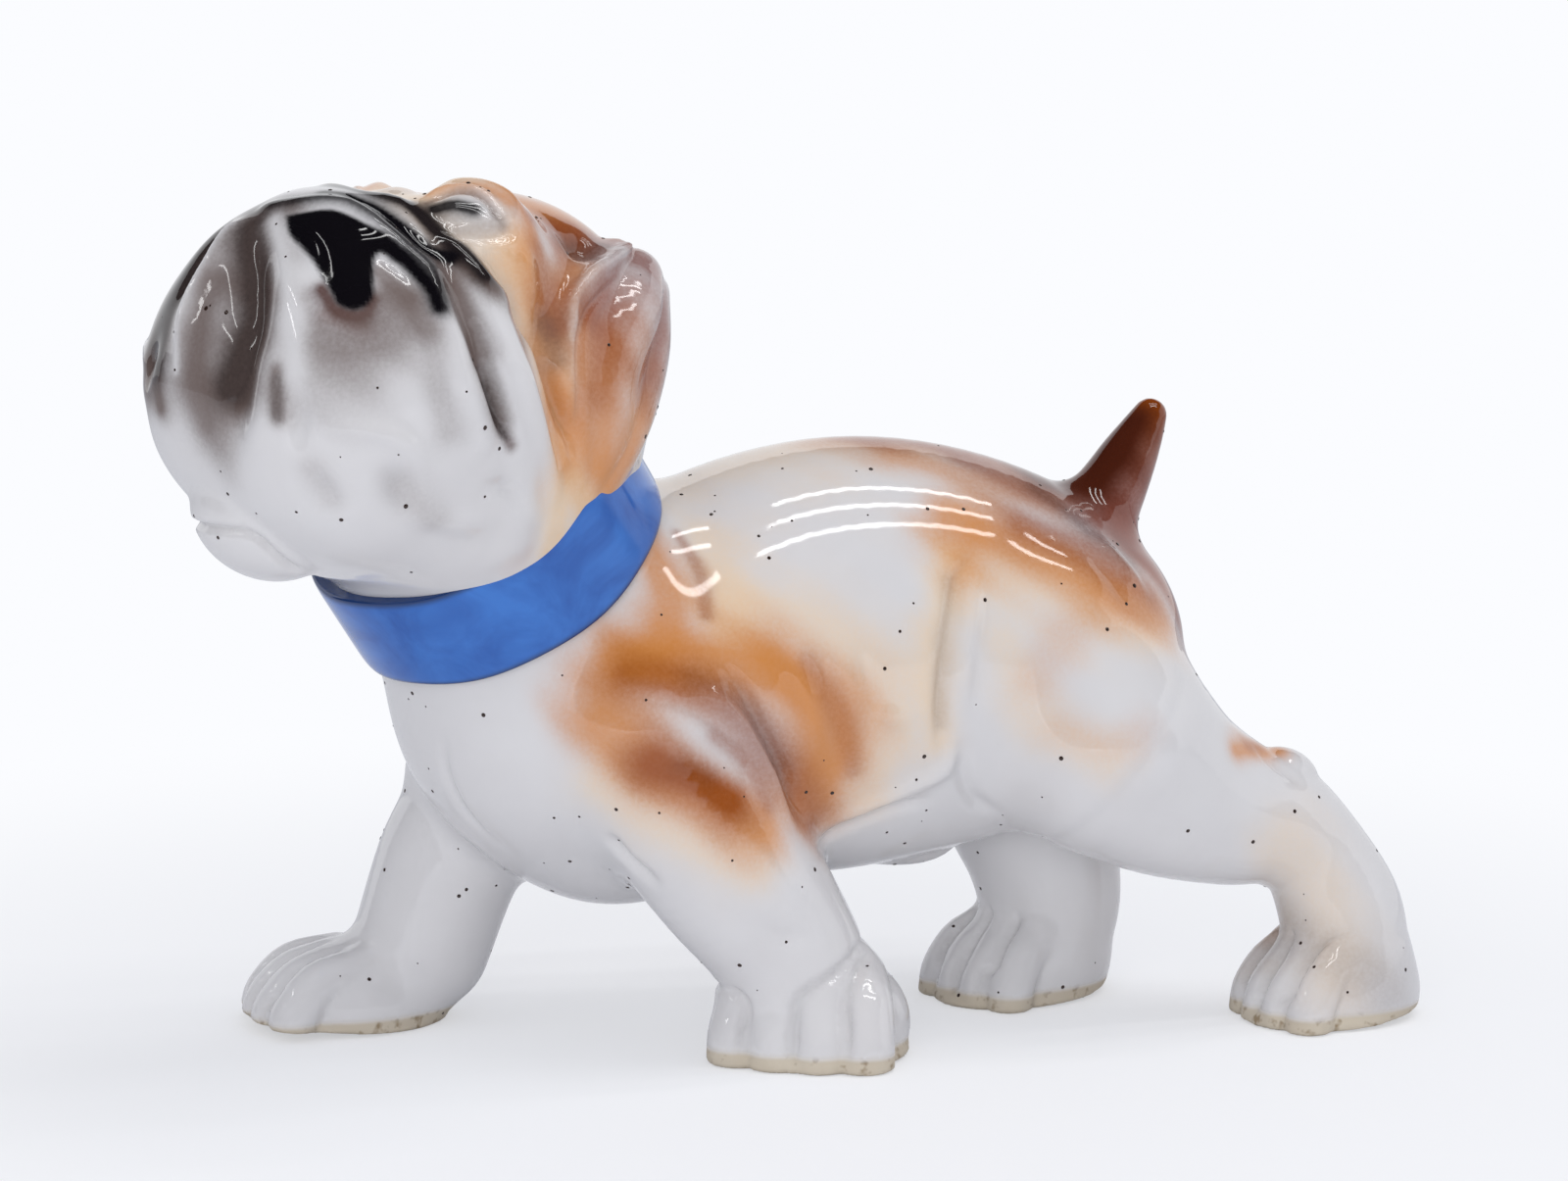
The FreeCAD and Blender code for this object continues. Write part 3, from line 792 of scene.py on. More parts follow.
# airbrushed colour in the same frame: pigment, places, radius, strength, both sides or not
headSprays = [
    # muzzle
    ("grey", [(39, -6, 2), (40.3, -4.8, -2.5), (40.8, -3, -7.4), (40.1, -1.6, -12.9)], 8.5, 0.5, False),
    ("grey", [(38.2, -5.3, 5.2), (39.3, -2.5, 2.4), (39.9, 0.1, -0.8), (40.7, 2.6, -5), (40.7, 3.2, -9.5),
        (40.1, 3.4, -14)], 5.0, 1.0, False),
    ("black", [(38.4, -5, 4.6), (39.3, -2.6, 2), (39.9, 0, -1), (40.7, 2.4, -5), (40.7, 2.8, -9.5),
        (40.1, 2.6, -13)], 3.4, 0.6, False),
    ("grey", [(40.3, -5.8, -2.5), (40.8, -5, -7.4), (40.1, -3.3, -12.9),
        (38, -0.7, -17.7)], 3.0, 0.7, False),
    ("umber", [(40.7, -5.4, -6), (40.2, -3.6, -12)], 1.3, 0.25, False),
    ("grey", [(40.4, 2, -15), (38, 1, -19)], 4.4, 0.5, False),
    ("grey", [(39.9, 9.2, -9.4), (38.9, 10.8, -14)], 1.8, 0.8, False),
    ("black", [(39.8, 9.6, -10.4), (38.9, 10.8, -14)], 1.0, 0.25, False),
    ("grey", [(34.5, -14, 5), (37.4, -13, 1), (39.1, -12.6, -3.9), (39.8, -11.6, -8.8),
        (38.9, -10.8, -14.6), (37.4, -9.2, -18)], 3.2, 1.0, False),
    ("black", [(33, -15, 8), (37.4, -13.4, 1), (39.1, -13, -3.9), (39.8, -12, -8.8),
        (38.9, -11.4, -14)], 3.0, 0.75, False),
    ("umber", [(37.4, -13, 1), (39.1, -12.8, -3.9), (39.8, -12, -8.8)], 2.2, 0.3, False),
    ("grey", [(29, -18, 9), (33.5, -16.4, 4), (36, -15.8, 0), (37.6, -15, -5), (37.6, -14, -11),
        (36.5, -12.5, -16)], 4.5, 1.0, False),
    ("black", [(30, -17.5, 8), (33.5, -16.4, 4), (36, -15.8, 0), (37.6, -15.4, -5),
        (37.6, -14.6, -10)], 3.6, 0.6, False),
    ("grey", [(38.9, 12.6, -4), (37.4, 15, -3.6), (35, 17, -1.3), (33, 17.4, 2)], 5.0, 0.62, False),
    ("grey", [(38.6, 14.6, -6.5), (36, 17.4, -6.5)], 5.0, 0.32, False),
    ("umber", [(38.4, 12.6, -2.6), (36.6, 15.6, -2), (35, 16, 0.6)], 3.0, 0.22, False),
    ("umber", [(39.3, 8.6, -0.4), (38.9, 11.2, -2.4)], 1.6, 0.3, False),
    ("grey", [(34, 15.2, 4), (32.2, 16.9, 3.8), (31, 19, 2)], 3.0, 0.55, False),
    ("grey", [(35, 13, 5.6), (34, 14.6, 4.8), (32.6, 16.4, 4.4)], 2.4, 0.75, False),
    ("grey", [(30.4, 20.4, 1), (28, 21.6, -4), (25, 22.6, -8)], 2.4, 0.3, True),
    ("grey", [(20, 21.8, -18), (26, 21.2, -16.2)], 2.6, 0.25, True),
    ("grey", [(34.6, 15.3, -18.2), (31, 16.4, -20.6)], 2.0, 0.2, True),
    ("grey", [(28.9, 17.5, 7.6), (27.3, 19.7, 5), (25.4, 21.1, 3), (23.2, 22.5, 0.4), (20.8, 23.3, -1.7),
        (18, 23.9, -4.3)], 1.9, 0.75, True),
    # rolls over the nose
    ("grey", [(29, -8, 14), (29.6, 3.5, 14.2), (28.6, 8, 13.6), (26.8, 16, 11),
        (23.6, 19, 9.2)], 2.6, 1.0, False),
    ("grey", [(29.4, 14.4, 10.4), (28.4, 17, 8.6), (26, 20, 5), (23.6, 22, 2)], 2.2, 0.8, False),
    ("umber", [(29.6, 14.6, 10.2), (28, 17.4, 8)], 1.4, 0.45, False),
    ("grey", [(22, 19, 8.6), (17, 20.6, 5)], 2.2, 0.5, True),
    ("grey", [(36, -11, 7), (36.8, -7.6, 6.8), (37, -5.1, 8.1), (37.3, -1.9, 9.3)], 2.2, 0.8, False),
    ("black", [(34, -12, 8.6), (36.4, -8.6, 7.6), (37, -5.4, 8.6)], 2.2, 0.6, False),
    ("grey", [(30, -15, 9), (27, -17, 10), (24, -17, 12)], 4.0, 0.9, False),
    ("black", [(37.1, -4, 8.8), (37.2, -1.9, 9.7), (36.3, 1.6, 11.2), (35.2, 4.3, 11.8), (34.4, 6.9, 11.3),
        (33.4, 9.6, 10.6), (31.8, 13, 9.6), (30.9, 16.4, 8), (29.9, 19, 5.2)], 1.8, 0.88, False),
    ("black", [(35.4, 0, 12), (33.4, 3.4, 12.8), (32.8, 5.6, 12.5), (32.3, 8.9, 11.8), (31.3, 12.2, 11.2),
        (30, 14, 10.8), (27.8, 15.4, 10.8)], 1.5, 1.0, False),
    ("black", [(32, -4, 13.4), (30.6, 2, 14), (29.2, 7, 14), (28, 11, 13.2), (26.6, 15.4, 12),
        (24.8, 18.4, 10.6)], 2.0, 0.9, False),
    ("umber", [(25.4, 21.1, 3), (23.2, 22.5, 0.4), (20.8, 23.3, -1.7), (18, 23.9, -4.3),
        (15, 24, -6.4)], 0.9, 0.7, True),
    ("black", [(21.4, 23.1, -1.2), (18, 23.9, -4.3), (16, 24, -5.8)], 0.6, 0.5, True),
    ("black", [(34, 10.5, 8.3), (32.2, 14, 7.8), (30.9, 17.2, 6.4), (30.1, 18.9, 4.8)], 1.15, 1.0, False),
    # under the nose
    # brown under the nose: partly airbrush overspray, partly painted shade beneath the nose
    ("umber", [(38.6, 9.6, 1), (37.9, 12.4, -0.6), (36.6, 14.8, 0.2), (35.9, 14.6, 2.4)], 1.7, 0.9, False),
    ("plum", [(38.3, 11.6, -1.4), (36.8, 14.8, -1)], 1.5, 0.3, False),
    # eyes
    ("cream", [(27.5, 5, 13.6), (28, 10, 12.6), (24, 15.4, 12.4), (19, 17.4, 13)], 3.6, 0.5, True),
    ("cream", [(27, 4, 17), (22, 5, 20.6), (17, 9, 21.4)], 4.0, 0.7, True),
    ("ochre", [(26, 6, 17.6), (24.4, 7, 19.4), (22, 9, 20.6), (19.4, 12, 20)], 1.5, 0.6, True),
    ("ochre", [(18.6, 9, 21.2), (16.6, 13, 19), (15.4, 15.4, 16.6)], 2.2, 0.75, True),
    ("grey", [(25.6, 12.6, 15), (23, 14, 16.2), (21, 14.2, 17.6)], 1.4, 0.3, True),
    ("umber", [(21.8, 13.4, 17.9), (20.7, 14.3, 17.2)], 0.9, 0.35, True),
    ("umber", [(26.8, 7.5, 15.7), (25.2, 8, 17.9), (23.6, 9.3, 19.2), (22.3, 11.4, 19.2),
        (21.7, 13, 18.3)], 0.6, 0.5, True),
    ("black", [(26.8, 9, 15.4), (25.6, 10.4, 16.6), (24, 12, 17.4)], 1.3, 0.95, True),
    # forehead and cheeks
    ("ochre", [(16, 3, 22.4), (10, 5, 23.4), (4, 6, 23.4), (-4, 4, 23)], 7.0, 0.8, True),
    ("rust", [(15, 12, 20), (10, 11.5, 21.4), (4, 10, 22.4)], 3.6, 0.8, True),
    ("cream", [(18, 16, 15), (14, 18, 10), (9, 21, 2)], 5.0, 0.7, True),
    ("ochre", [(17, 15.8, 15.4), (13.6, 17.6, 11), (10.6, 19.4, 6), (7, 21.4, 0),
        (4, 22.4, -5)], 3.8, 0.7, True),
    ("ochre", [(7, 8, 21), (7.4, 12, 18.8), (8.5, 16, 14.4)], 4.0, 0.7, True),
    ("rust", [(14.5, 15.4, 16.4), (12.6, 17, 12), (9.6, 18.4, 9)], 2.6, 0.55, True),
    ("plum", [(8, 8, 21), (8.4, 12, 18.8), (9, 16, 14.4), (10.3, 18.2, 9.2)], 3.4, 0.45, True),
    ("grey", [(11.5, 18.4, 8.6), (9, 19.6, 5.4)], 2.2, 0.5, True),
    ("cream", [(6, 22, -4), (2.5, 22.6, -10), (0, 22, -15)], 3.4, 0.7, True),
    # ears
    ("rust", [(-0.5, 17.3, 16.5), (2, 20.5, 10), (2.5, 21.9, 4)], 4.2, 0.5, True),
    ("ochre", [(4, 19.6, 9), (2, 21.6, 3), (-1, 22.8, -3)], 6.0, 0.8, True),
    ("ochre", [(-5, 19, 9), (-6, 20.6, 1), (-6, 22, -4)], 5.5, 0.8, True),
    ("plum", [(4, 17, 14), (3.4, 19.6, 9)], 3.8, 0.3, True),
    ("plum", [(-1, 11, 21.2), (-5, 13, 19.6), (-7, 16, 14.5), (-6.5, 19, 9)], 4.6, 0.75, True),
    ("plum", [(2, 15, 18), (5, 17.6, 13)], 3.0, 0.6, True),
    ("cream", [(1.6, 22.6, -6.6), (-3.5, 23, -9)], 3.8, 0.85, True),
    # dark umber in each ear's hollow: partly the inner ear's own brown, partly painted shade in the pressed
    # hollow
    ("umber", [(6.5, 12, 19), (3.6, 12, 20.2), (1, 12, 21.4)], 2.2, 0.6, True),
    ("cream", [(13, 17, 9.4), (11, 17.6, 9.6), (10, 18.6, 7.6)], 2.0, 0.6, True),
    ("cream", [(9.6, 15.6, 15), (7.6, 15.4, 16.4)], 1.7, 0.5, True),
]
# the nose, painted up to its edge with a brush: pigment, outline, strength, softness of the edge
headFills = [
    ("black", [
        (37.5, -1.2, 7.6), (37.4, 1.8, 9), (36.5, 4.6, 10), (35.2, 8.3, 9.6), (33, 11.4, 8.9),
        (31.3, 16.3, 7.3), (30.7, 18.2, 5.6), (31.6, 15.7, 6.9), (33.3, 12.4, 7.2), (34.3, 11.3, 7.3),
        (35.2, 11.8, 6.1), (35.7, 14.1, 3.1), (36.2, 14.5, 1.5), (37.3, 13.7, 0.2), (38.2, 12.1, 0.2),
        (38.6, 10.7, 1.2), (38.9, 6.7, 3.7), (37.7, 1.3, 5.6),
    ], 1.0, 0.35),
]


def onFace(places, side):
    # mirrors a mark; the far brow sits lower than the near one
    places = np.array(places, float)
    if side < 0:
        high = np.clip((places[:, 2] - head["browFoot"]) / head["browRise"], 0, 1)
        places[:, 1] *= -1
        places[:, 2] -= head["browDrop"] * high
    return inHead(places)


def workHead(skin):
    for places, height, left, right, fade, twice in headStrokes.values():
        for side in (1, -1) if twice else (1,):
            widths = (left, right) if side > 0 else (right, left)
            skin.tool(skin.land(onFace(places, side)), height, *widths, fade)
    for pigment, places, radius, strength, twice in headSprays:
        for side in (1, -1) if twice else (1,):
            skin.spray(pigment, skin.land(onFace(places, side)), radius, strength)
    # painted highlight: the brown is wiped thin along each ear's crest so that it shows pale
    for side in (1, -1):
        crest = skin.land(onFace(head["earCrest"], side))
        for pigment in ("ochre", "rust", "plum"):
            skin.wipe(pigment, crest, 0.8, 0.55)
    # painted highlights: the dark paint is wiped off along these crests so that they show as white stripes
    for places, radius in head["paintedHighlightCrests"]:
        line = skin.land(inHead(places))
        for pigment in ("umber", "grey", "black", "plum"):
            skin.wipe(pigment, line, radius, 0.85)
    nosePasses, darkPasses = (round(passes / clayWork["headGrain"] ** 2) for passes in head["calmPasses"])
    for pigment, outline, strength, soft in headFills:
        weight, depth = skin.fill(pigment, skin.land(inHead(outline + outline[:1])), strength, soft)
        skin.calm(weight, nosePasses)
        # the nose swells a little inside its outline
        swell = np.clip(depth / head["noseRound"], 0, 1)
        skin.points += (head["noseSwell"] * swell * (2 - swell))[:, None] * skin.outward
        skin.calm(weight, darkPasses)
    dark = np.clip(skin.paint["grey"] + skin.paint["black"], 0, 1)
    skin.calm(dark * (skin.laid[:, 2] > head["darkAbove"]), darkPasses)
    skin.settle()


def modelHead():
    clay = Clay(*head["block"], clayWork["headGrain"])
    lumps = dict(skull=headBall(head["skull"][0]) + headBall(head["skull"][1]))
    clay.press(lumps["skull"])
    brows = headBall(head["brows"][0]) + headBall(head["brows"][1])
    clay.press(brows, soft=4)
    lumps["skull"] += brows
    root, axis = neckLine()
    clay.press(rope([(*(root + axis * along), head["neckRadius"]) for along in head["neck"]]), soft=5)
    for side in (1, -1):
        clay.press(headBall(head["flew"], side), soft=4)
        clay.press(headBall(head["jowl"], side), soft=6)
    for side in (1, -1):
        clay.press(headBall(head["cushion"], side), soft=5)
    clay.press(headBall(head["nose"]), soft=5)
    for side in (1, -1):
        drop = head["foldDrop"] if side < 0 else 0
        for name, soft in (("bigFold", 1.2), ("narrowFold", 1)):
            fold = [(f, l, c - drop * l, r) for f, l, c, r in head[name]]
            clay.press(headRope(fold, side), soft=soft)
    clay.press(headBall(head["chin"]), soft=0.8)
    joint = root + axis * (body["jointAlong"] - body["jointLap"][1])
    clay.press(halfSpace(joint, -axis, size=70), carve=True)
    for side, name in ((1, "left_ear"), (-1, "right_ear")):
        lumps[name] = [lump for run in head["ear"] for lump in headRope(run, side)]
        clay.press(lumps[name], soft=1.2)
    skin = clay.skin()
    print("head modelled,", len(skin.quads), "faces")
    return skin, lumps


def linear(hexCode):
    # sRGB hex to the linear values that a shader takes
    code = hexCode.lstrip("#")
    values = [int(code[i : i + 2], 16) / 255 for i in (0, 2, 4)]
    return tuple(v / 12.92 if v <= 0.04045 else ((v + 0.055) / 1.055) ** 2.4 for v in values) + (1.0,)


def addNode(tree, kind, settings=None, inputs=None):
    # adds a node, sets its properties and inputs, and links what is given as a socket
    node = tree.nodes.new(kind)
    for name, value in (settings or {}).items():
        setattr(node, name, value)
    for name, value in (inputs or {}).items():
        socket = node.inputs[name]
        if isinstance(value, bpy.types.NodeSocket):
            tree.links.new(value, socket)
        else:
            socket.default_value = value
    return node


def noise(tree, place, scale, **more):
    return addNode(tree, "ShaderNodeTexNoise", None, dict(Vector=place, Scale=scale, **more)).outputs[0]


def ranged(tree, value, start, end, low=0.0, high=1.0, **settings):
    # maps start to end onto low to high
    ends = {"Value": value, "From Min": start, "From Max": end, "To Min": low, "To Max": high}
    return addNode(tree, "ShaderNodeMapRange", settings, ends).outputs[0]


def mixed(tree, share, first, second):
    # one colour over another; a colour is a socket or a hex code
    first, second = (linear(c) if isinstance(c, str) else c for c in (first, second))
    return addNode(tree, "ShaderNodeMixRGB", None, dict(Fac=share, Color1=first, Color2=second)).outputs[0]


def worked(tree, operation, *values, **settings):
    # the result of a sum
    kind = dict(operation=operation, **settings)
    return addNode(tree, "ShaderNodeMath", kind, dict(enumerate(values))).outputs[0]


def attribute(tree, name):
    return addNode(tree, "ShaderNodeAttribute", dict(attribute_name=name)).outputs["Fac"]


def finishSurface(tree, surface, kind="Material"):
    addNode(tree, "ShaderNodeOutput" + kind, None, dict(Surface=surface.outputs[0]))


pigments = dict(
    cream="#EBCDA6",
    ochre="#CE843C",
    rust="#924405",
    plum="#854637",
    umber="#471D10",
    grey="#6B5C57",
    black="#0E0C10",
)


def startMaterial(name):
    material = bpy.data.materials.new(name)
    material.use_nodes = True
    material.node_tree.nodes.clear()
    return material, material.node_tree


glazeLook = dict(
    white="#DAD9DA",
    whiteCloud="#D3D1D2",
    clay="#CFC6B6",
    clayCloud="#BDB09C",
    dirt="#95836A",
    roughness=0.06,
    clayRoughness=0.85,
    ior=1.52,
)


def glaze(name):
    # transparent gloss glaze over airbrushed underglaze colours on white earthenware, dipped and fired:
    # a deep wet shine, soft-edged colour, and bare clay under the paws
    material, tree = startMaterial(name)
    place = addNode(tree, "ShaderNodeTexCoord").outputs["Object"]
    spatter = noise(tree, place, 1900.0, Detail=2.0, Roughness=0.6)
    dots = worked(tree, "SUBTRACT", spatter, 0.5)
    cloud = noise(tree, place, 130.0, Detail=3.0)
    colour = mixed(tree, cloud, glazeLook["white"], glazeLook["whiteCloud"])
    for pigment, code in pigments.items():
        layer = attribute(tree, "paint_" + pigment)
        # the airbrush leaves fine dots where it thins out
        thin = worked(tree, "SUBTRACT", 1.0, layer)
        reach = worked(tree, "MULTIPLY", dots, thin)
        soft = worked(tree, "MULTIPLY_ADD", reach, layer, layer)
        cover = addNode(tree, "ShaderNodeClamp", None, {0: soft}).outputs[0]
        colour = mixed(tree, cover, colour, code)
    bare = attribute(tree, "bareClay")
    clayColour = mixed(tree, cloud, glazeLook["clay"], glazeLook["clayCloud"])
    blots = noise(tree, place, 620.0, Detail=2.0)
    clayColour = mixed(tree, ranged(tree, blots, 0.58, 0.72), clayColour, glazeLook["dirt"])
    colour = mixed(tree, bare, colour, clayColour)
    rough = ranged(tree, bare, 0.0, 1.0, glazeLook["roughness"], glazeLook["clayRoughness"])
    ripple = noise(tree, place, 260.0, Detail=1.0)
    bump = addNode(tree, "ShaderNodeBump", None, dict(Height=ripple, Strength=0.03, Distance=0.0004))
    look = {"Base Color": colour, "Roughness": rough, "IOR": glazeLook["ior"], "Normal": bump.outputs[0]}
    finishSurface(tree, addNode(tree, "ShaderNodeBsdfPrincipled", None, look))
    return material


def cobaltGlaze():
    # cobalt underglaze brushed on the relief band under the same gloss glaze: uneven blue, darker where
    # the brush overlapped and where the colour pooled at the edges
    material, tree = startMaterial("Cobalt brushed underglaze, gloss")
    place = addNode(tree, "ShaderNodeTexCoord").outputs["Object"]
    wash = noise(tree, place, 95.0, Detail=4.0, Roughness=0.6, Distortion=0.8)
    colour = mixed(tree, ranged(tree, wash, 0.32, 0.68), "#1F56A8", "#3675C9")
    colour = mixed(tree, attribute(tree, "paint_rim"), colour, "#1C3768")
    look = {"Base Color": colour, "Roughness": 0.10, "IOR": glazeLook["ior"]}
    finishSurface(tree, addNode(tree, "ShaderNodeBsdfPrincipled", None, look))
    return material


def addObject(name, data):
    thing = bpy.data.objects.new(name, data)
    bpy.context.scene.collection.objects.link(thing)
    return thing


def makePiece(name, node, material, points, faces, attributes, normals=None):
    mesh = bpy.data.meshes.new(name)
    mesh.from_pydata(((points + home) * mm).tolist(), [], [list(face) for face in faces])
    mesh.polygons.foreach_set("use_smooth", [True] * len(mesh.polygons))
    for key, values in attributes.items():
        layer = mesh.attributes.new(key, "FLOAT", "POINT")
        layer.data.foreach_set("value", np.asarray(values, np.float32))
    mesh.materials.append(material)
    if normals is not None:
        mesh.normals_split_custom_set_from_vertices(normals.tolist())
    piece = addObject(name, mesh)
    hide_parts(node)
    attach(piece, "root")


def patches(links, count):
    # tells connected patches apart: each point takes the lowest number among the points it hangs on to
    group = np.arange(count)
    before = group + 1
    while (before != group).any():
        before = group.copy()
        low = group[links].min(1)
        for column in links.T:
            np.minimum.at(group, column, low)
        group = group[group]
    return group


def partSkin(skin, labels, pieces, material):
    # parts one skin into closed pieces along the labels of its faces
    for label, (name, node, slot) in enumerate(pieces):
        quads = skin.quads[labels == label]
        used, faces = np.unique(quads, return_inverse=True)
        faces = faces.reshape(quads.shape)
        points = skin.points[used]
        normals = skin.normals[used]
        sides = np.vstack([faces[:, [i, (i + 1) % 4]] for i in range(4)])
        _, first, count = np.unique(np.sort(sides, 1), axis=0, return_index=True, return_counts=True)
        rim = sides[first[count == 1]]
        group = patches(rim, len(used))[rim[:, 0]]
        # each open rim is closed by a fan on its own middle, which sinks in so that it never shows
        caps, hubs, hubNormals, parents = [], [], [], []
        for loop in np.unique(group):
            edges = rim[group == loop]
            members = np.unique(edges)
            middle = points[members].mean(0)
            inward = -normals[members].mean(0)
            spread = np.linalg.norm(points[members] - middle, axis=1).mean()
            caps += [(b, a, len(points) + len(hubs)) for a, b in edges]
            hubs.append(middle + inward * spread * clayWork["capSink"])
            hubNormals.append(inward)
            parents.append(members[0])
        if hubs:
            points = np.vstack([points, hubs])
            normals = np.vstack([normals, hubNormals])
        normals = normals / np.maximum(np.linalg.norm(normals, axis=1, keepdims=True), 1e-9)
        attributes = {}
        for key, values in skin.paint.items():
            layer = "bareClay" if key == "bare" else "paint_" + key
            attributes[layer] = np.concatenate([values[used], values[used][parents]])
        makePiece(name, node, material, points, faces.tolist() + caps, attributes, normals)
        print(name, len(faces) * 2 + len(caps), "triangles,", len(hubs), "caps")


def largestOnly(skin, labels, label):
    # keeps the largest connected patch of a label and gives the crumbs back to the first piece
    faces = np.flatnonzero(labels == label)
    if not len(faces):
        return
    quads = skin.quads[faces]
    owner = patches(quads, len(skin.points))[quads[:, 0]]
    names, counts = np.unique(owner, return_counts=True)
    labels[faces[owner != names[counts.argmax()]]] = 0


bodyPieces = [
    ("glazed_torso", "torso_shell", "torso_glaze"),
    ("glazed_left_foreleg", "left_foreleg", "leg_glaze"),
    ("glazed_right_foreleg", "right_foreleg", "leg_glaze"),
    ("glazed_left_hind_leg", "left_hind_leg", "leg_glaze"),
    ("glazed_right_hind_leg", "right_hind_leg", "leg_glaze"),
    ("glazed_tail", "tail", "tail_glaze"),
]
headPieces = [
    ("glazed_head", "head_shell", "head_glaze"),
    ("glazed_left_ear", "left_ear", "ear_glaze"),
    ("glazed_right_ear", "right_ear", "ear_glaze"),
]


def labelFaces(skin, lumps, base, pieces):
    # a face belongs to the piece whose lumps are nearest
    middles = skin.points[skin.quads].mean(1)
    near = nearness(lumps[base], middles)
    labels = np.zeros(len(middles), int)
    for label, (_, node, _) in enumerate(pieces[1:], 1):
        own = nearness(lumps[node], middles)
        closer = own < near
        labels[closer] = label
        near = np.where(closer, own, near)
    for label in range(1, len(pieces)):
        largestOnly(skin, labels, label)
    return labels


specks = dict(
    density=11000.0,  # to the square metre
    radius=0.24 * mm,
    smallest=0.4,
    largest=1.25,
    flatness=0.35,
    seed=7,
)


def speckTree(material):
    # iron specks melted into the glaze: flat beads scattered over a surface
    tree = bpy.data.node_groups.new("scatterSpecks", "GeometryNodeTree")
    sockets = tree.interface
    sockets.new_socket("Geometry", in_out="INPUT", socket_type="NodeSocketGeometry")
    for name in ("density", "radius", "smallest", "largest", "flatness"):
        sockets.new_socket(name, in_out="INPUT", socket_type="NodeSocketFloat")
    sockets.new_socket("seed", in_out="INPUT", socket_type="NodeSocketInt")
    sockets.new_socket("Geometry", in_out="OUTPUT", socket_type="NodeSocketGeometry")
    given = addNode(tree, "NodeGroupInput").outputs
    spread = dict(Mesh=given["Geometry"], Density=given["density"], Seed=given["seed"])
    points = addNode(
        tree, "GeometryNodeDistributePointsOnFaces", dict(distribute_method="RANDOM"), spread
    ).outputs
    bead = addNode(tree, "GeometryNodeMeshIcoSphere", None, dict(Radius=given["radius"], Subdivisions=2))
    ends = {2: given["smallest"], 3: given["largest"], "Seed": given["seed"]}
    size = addNode(tree, "FunctionNodeRandomValue", dict(data_type="FLOAT"), ends).outputs[1]
    thin = worked(tree, "MULTIPLY", size, given["flatness"])
    scale = addNode(tree, "ShaderNodeCombineXYZ", None, dict(X=size, Y=size, Z=thin)).outputs[0]
    laid = dict(
        Points=points["Points"], Instance=bead.outputs["Mesh"], Rotation=points["Rotation"], Scale=scale
    )
    beads = addNode(tree, "GeometryNodeInstanceOnPoints", None, laid)
    real = addNode(tree, "GeometryNodeRealizeInstances", None, dict(Geometry=beads.outputs[0]))
    finish = addNode(
        tree, "GeometryNodeSetMaterial", None, dict(Geometry=real.outputs[0], Material=material)
    )
    addNode(tree, "NodeGroupOutput", None, dict(Geometry=finish.outputs[0]))
    return tree


def scatterSpecks(name, skin, material):
    mesh = bpy.data.meshes.new(name + "Ground")
    mesh.from_pydata(((skin.points + home) * mm).tolist(), [], skin.quads.tolist())
    ground = addObject(name + "Ground", mesh)
    modifier = ground.modifiers.new("specks", "NODES")
    modifier.node_group = speckTree(material)
    for item in modifier.node_group.interface.items_tree:
        if item.in_out == "INPUT" and item.name in specks:
            modifier[item.identifier] = specks[item.name]
    ready = ground.evaluated_get(bpy.context.evaluated_depsgraph_get())
    beads = bpy.data.meshes.new_from_object(ready)
    ground.modifiers.remove(modifier)
    bpy.data.objects.remove(ground)
    piece = addObject(name, beads)
    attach(piece, "root")
    print(name, len(beads.polygons) // 80, "specks")  # a bead has 80 faces


def ironSpeck():
    # iron oxide that boiled through the glaze: dark brown and glossy
    material, tree = startMaterial("Iron oxide specks, gloss")
    look = {"Base Color": linear("#2B1A12"), "Roughness": 0.15, "IOR": glazeLook["ior"]}
    finishSurface(tree, addNode(tree, "ShaderNodeBsdfPrincipled", None, look))
    return material


collar = dict(
    width=14.0,
    thickness=1.7,
    depth=3.4,
    squareness=0.22,
    around=240,
    profile=56,
    # height, count and start of the waves in its edges and in its radius
    waver=((0.25, 3, 0.7), (0.15, 7, 0)),
    swell=(0.12, 5, 1),
    rim=(0.86, 0.96),  # where the darker rim starts and is full, as shares of half the width
)


def wave(angle, height, count, start):
    return height * math.sin(count * angle + start)


def makeCollar(material):
    # a flat band turned round the neck, its rims rounded by hand and a little uneven
    root, axis = neckLine()
    side = unit(np.cross(axis, (0, 0, 1)))
    up = np.cross(side, axis)
    middle = body["neckRadius"] + collar["thickness"] - collar["depth"] / 2
    turn = np.linspace(0, 2 * math.pi, collar["profile"], endpoint=False)
    square = collar["squareness"]
    along = np.sign(np.cos(turn)) * np.abs(np.cos(turn)) ** square * collar["width"] / 2
    out = np.sign(np.sin(turn)) * np.abs(np.sin(turn)) ** square * collar["depth"] / 2
    start, full = collar["rim"]
    rim = np.clip((np.abs(along) / collar["width"] * 2 - start) / (full - start), 0, 1)
    points = []
    for angle in np.linspace(0, 2 * math.pi, collar["around"], endpoint=False):
        ray = side * math.cos(angle) + up * math.sin(angle)
        sway = sum(wave(angle, *shape) for shape in collar["waver"])
        radius = middle + out + wave(angle, *collar["swell"])
        ringMiddle = root + axis * (body["jointAlong"] + sway)
        points.append(ringMiddle + np.outer(along, axis) + np.outer(radius, ray))
    count, ring = collar["around"], collar["profile"]
    faces = []
    for i in range(count):
        for j in range(ring):
            a, b = i * ring, (i + 1) % count * ring
            k = (j + 1) % ring
            faces.append((a + j, a + k, b + k, b + j))
    points = np.vstack(points)
    # the faces are turned over if they look inwards
    face = faces[ring // 4]
    ahead = np.cross(points[face[1]] - points[face[0]], points[face[2]] - points[face[0]])
    if ahead @ (points[face[0]] - root - axis * body["jointAlong"]) < 0:
        faces = [face[::-1] for face in faces]
    rims = {"paint_rim": np.tile(rim, count)}
    makePiece("glazed_collar", "collar_band", material, points, faces, rims)
    print("collar turned")


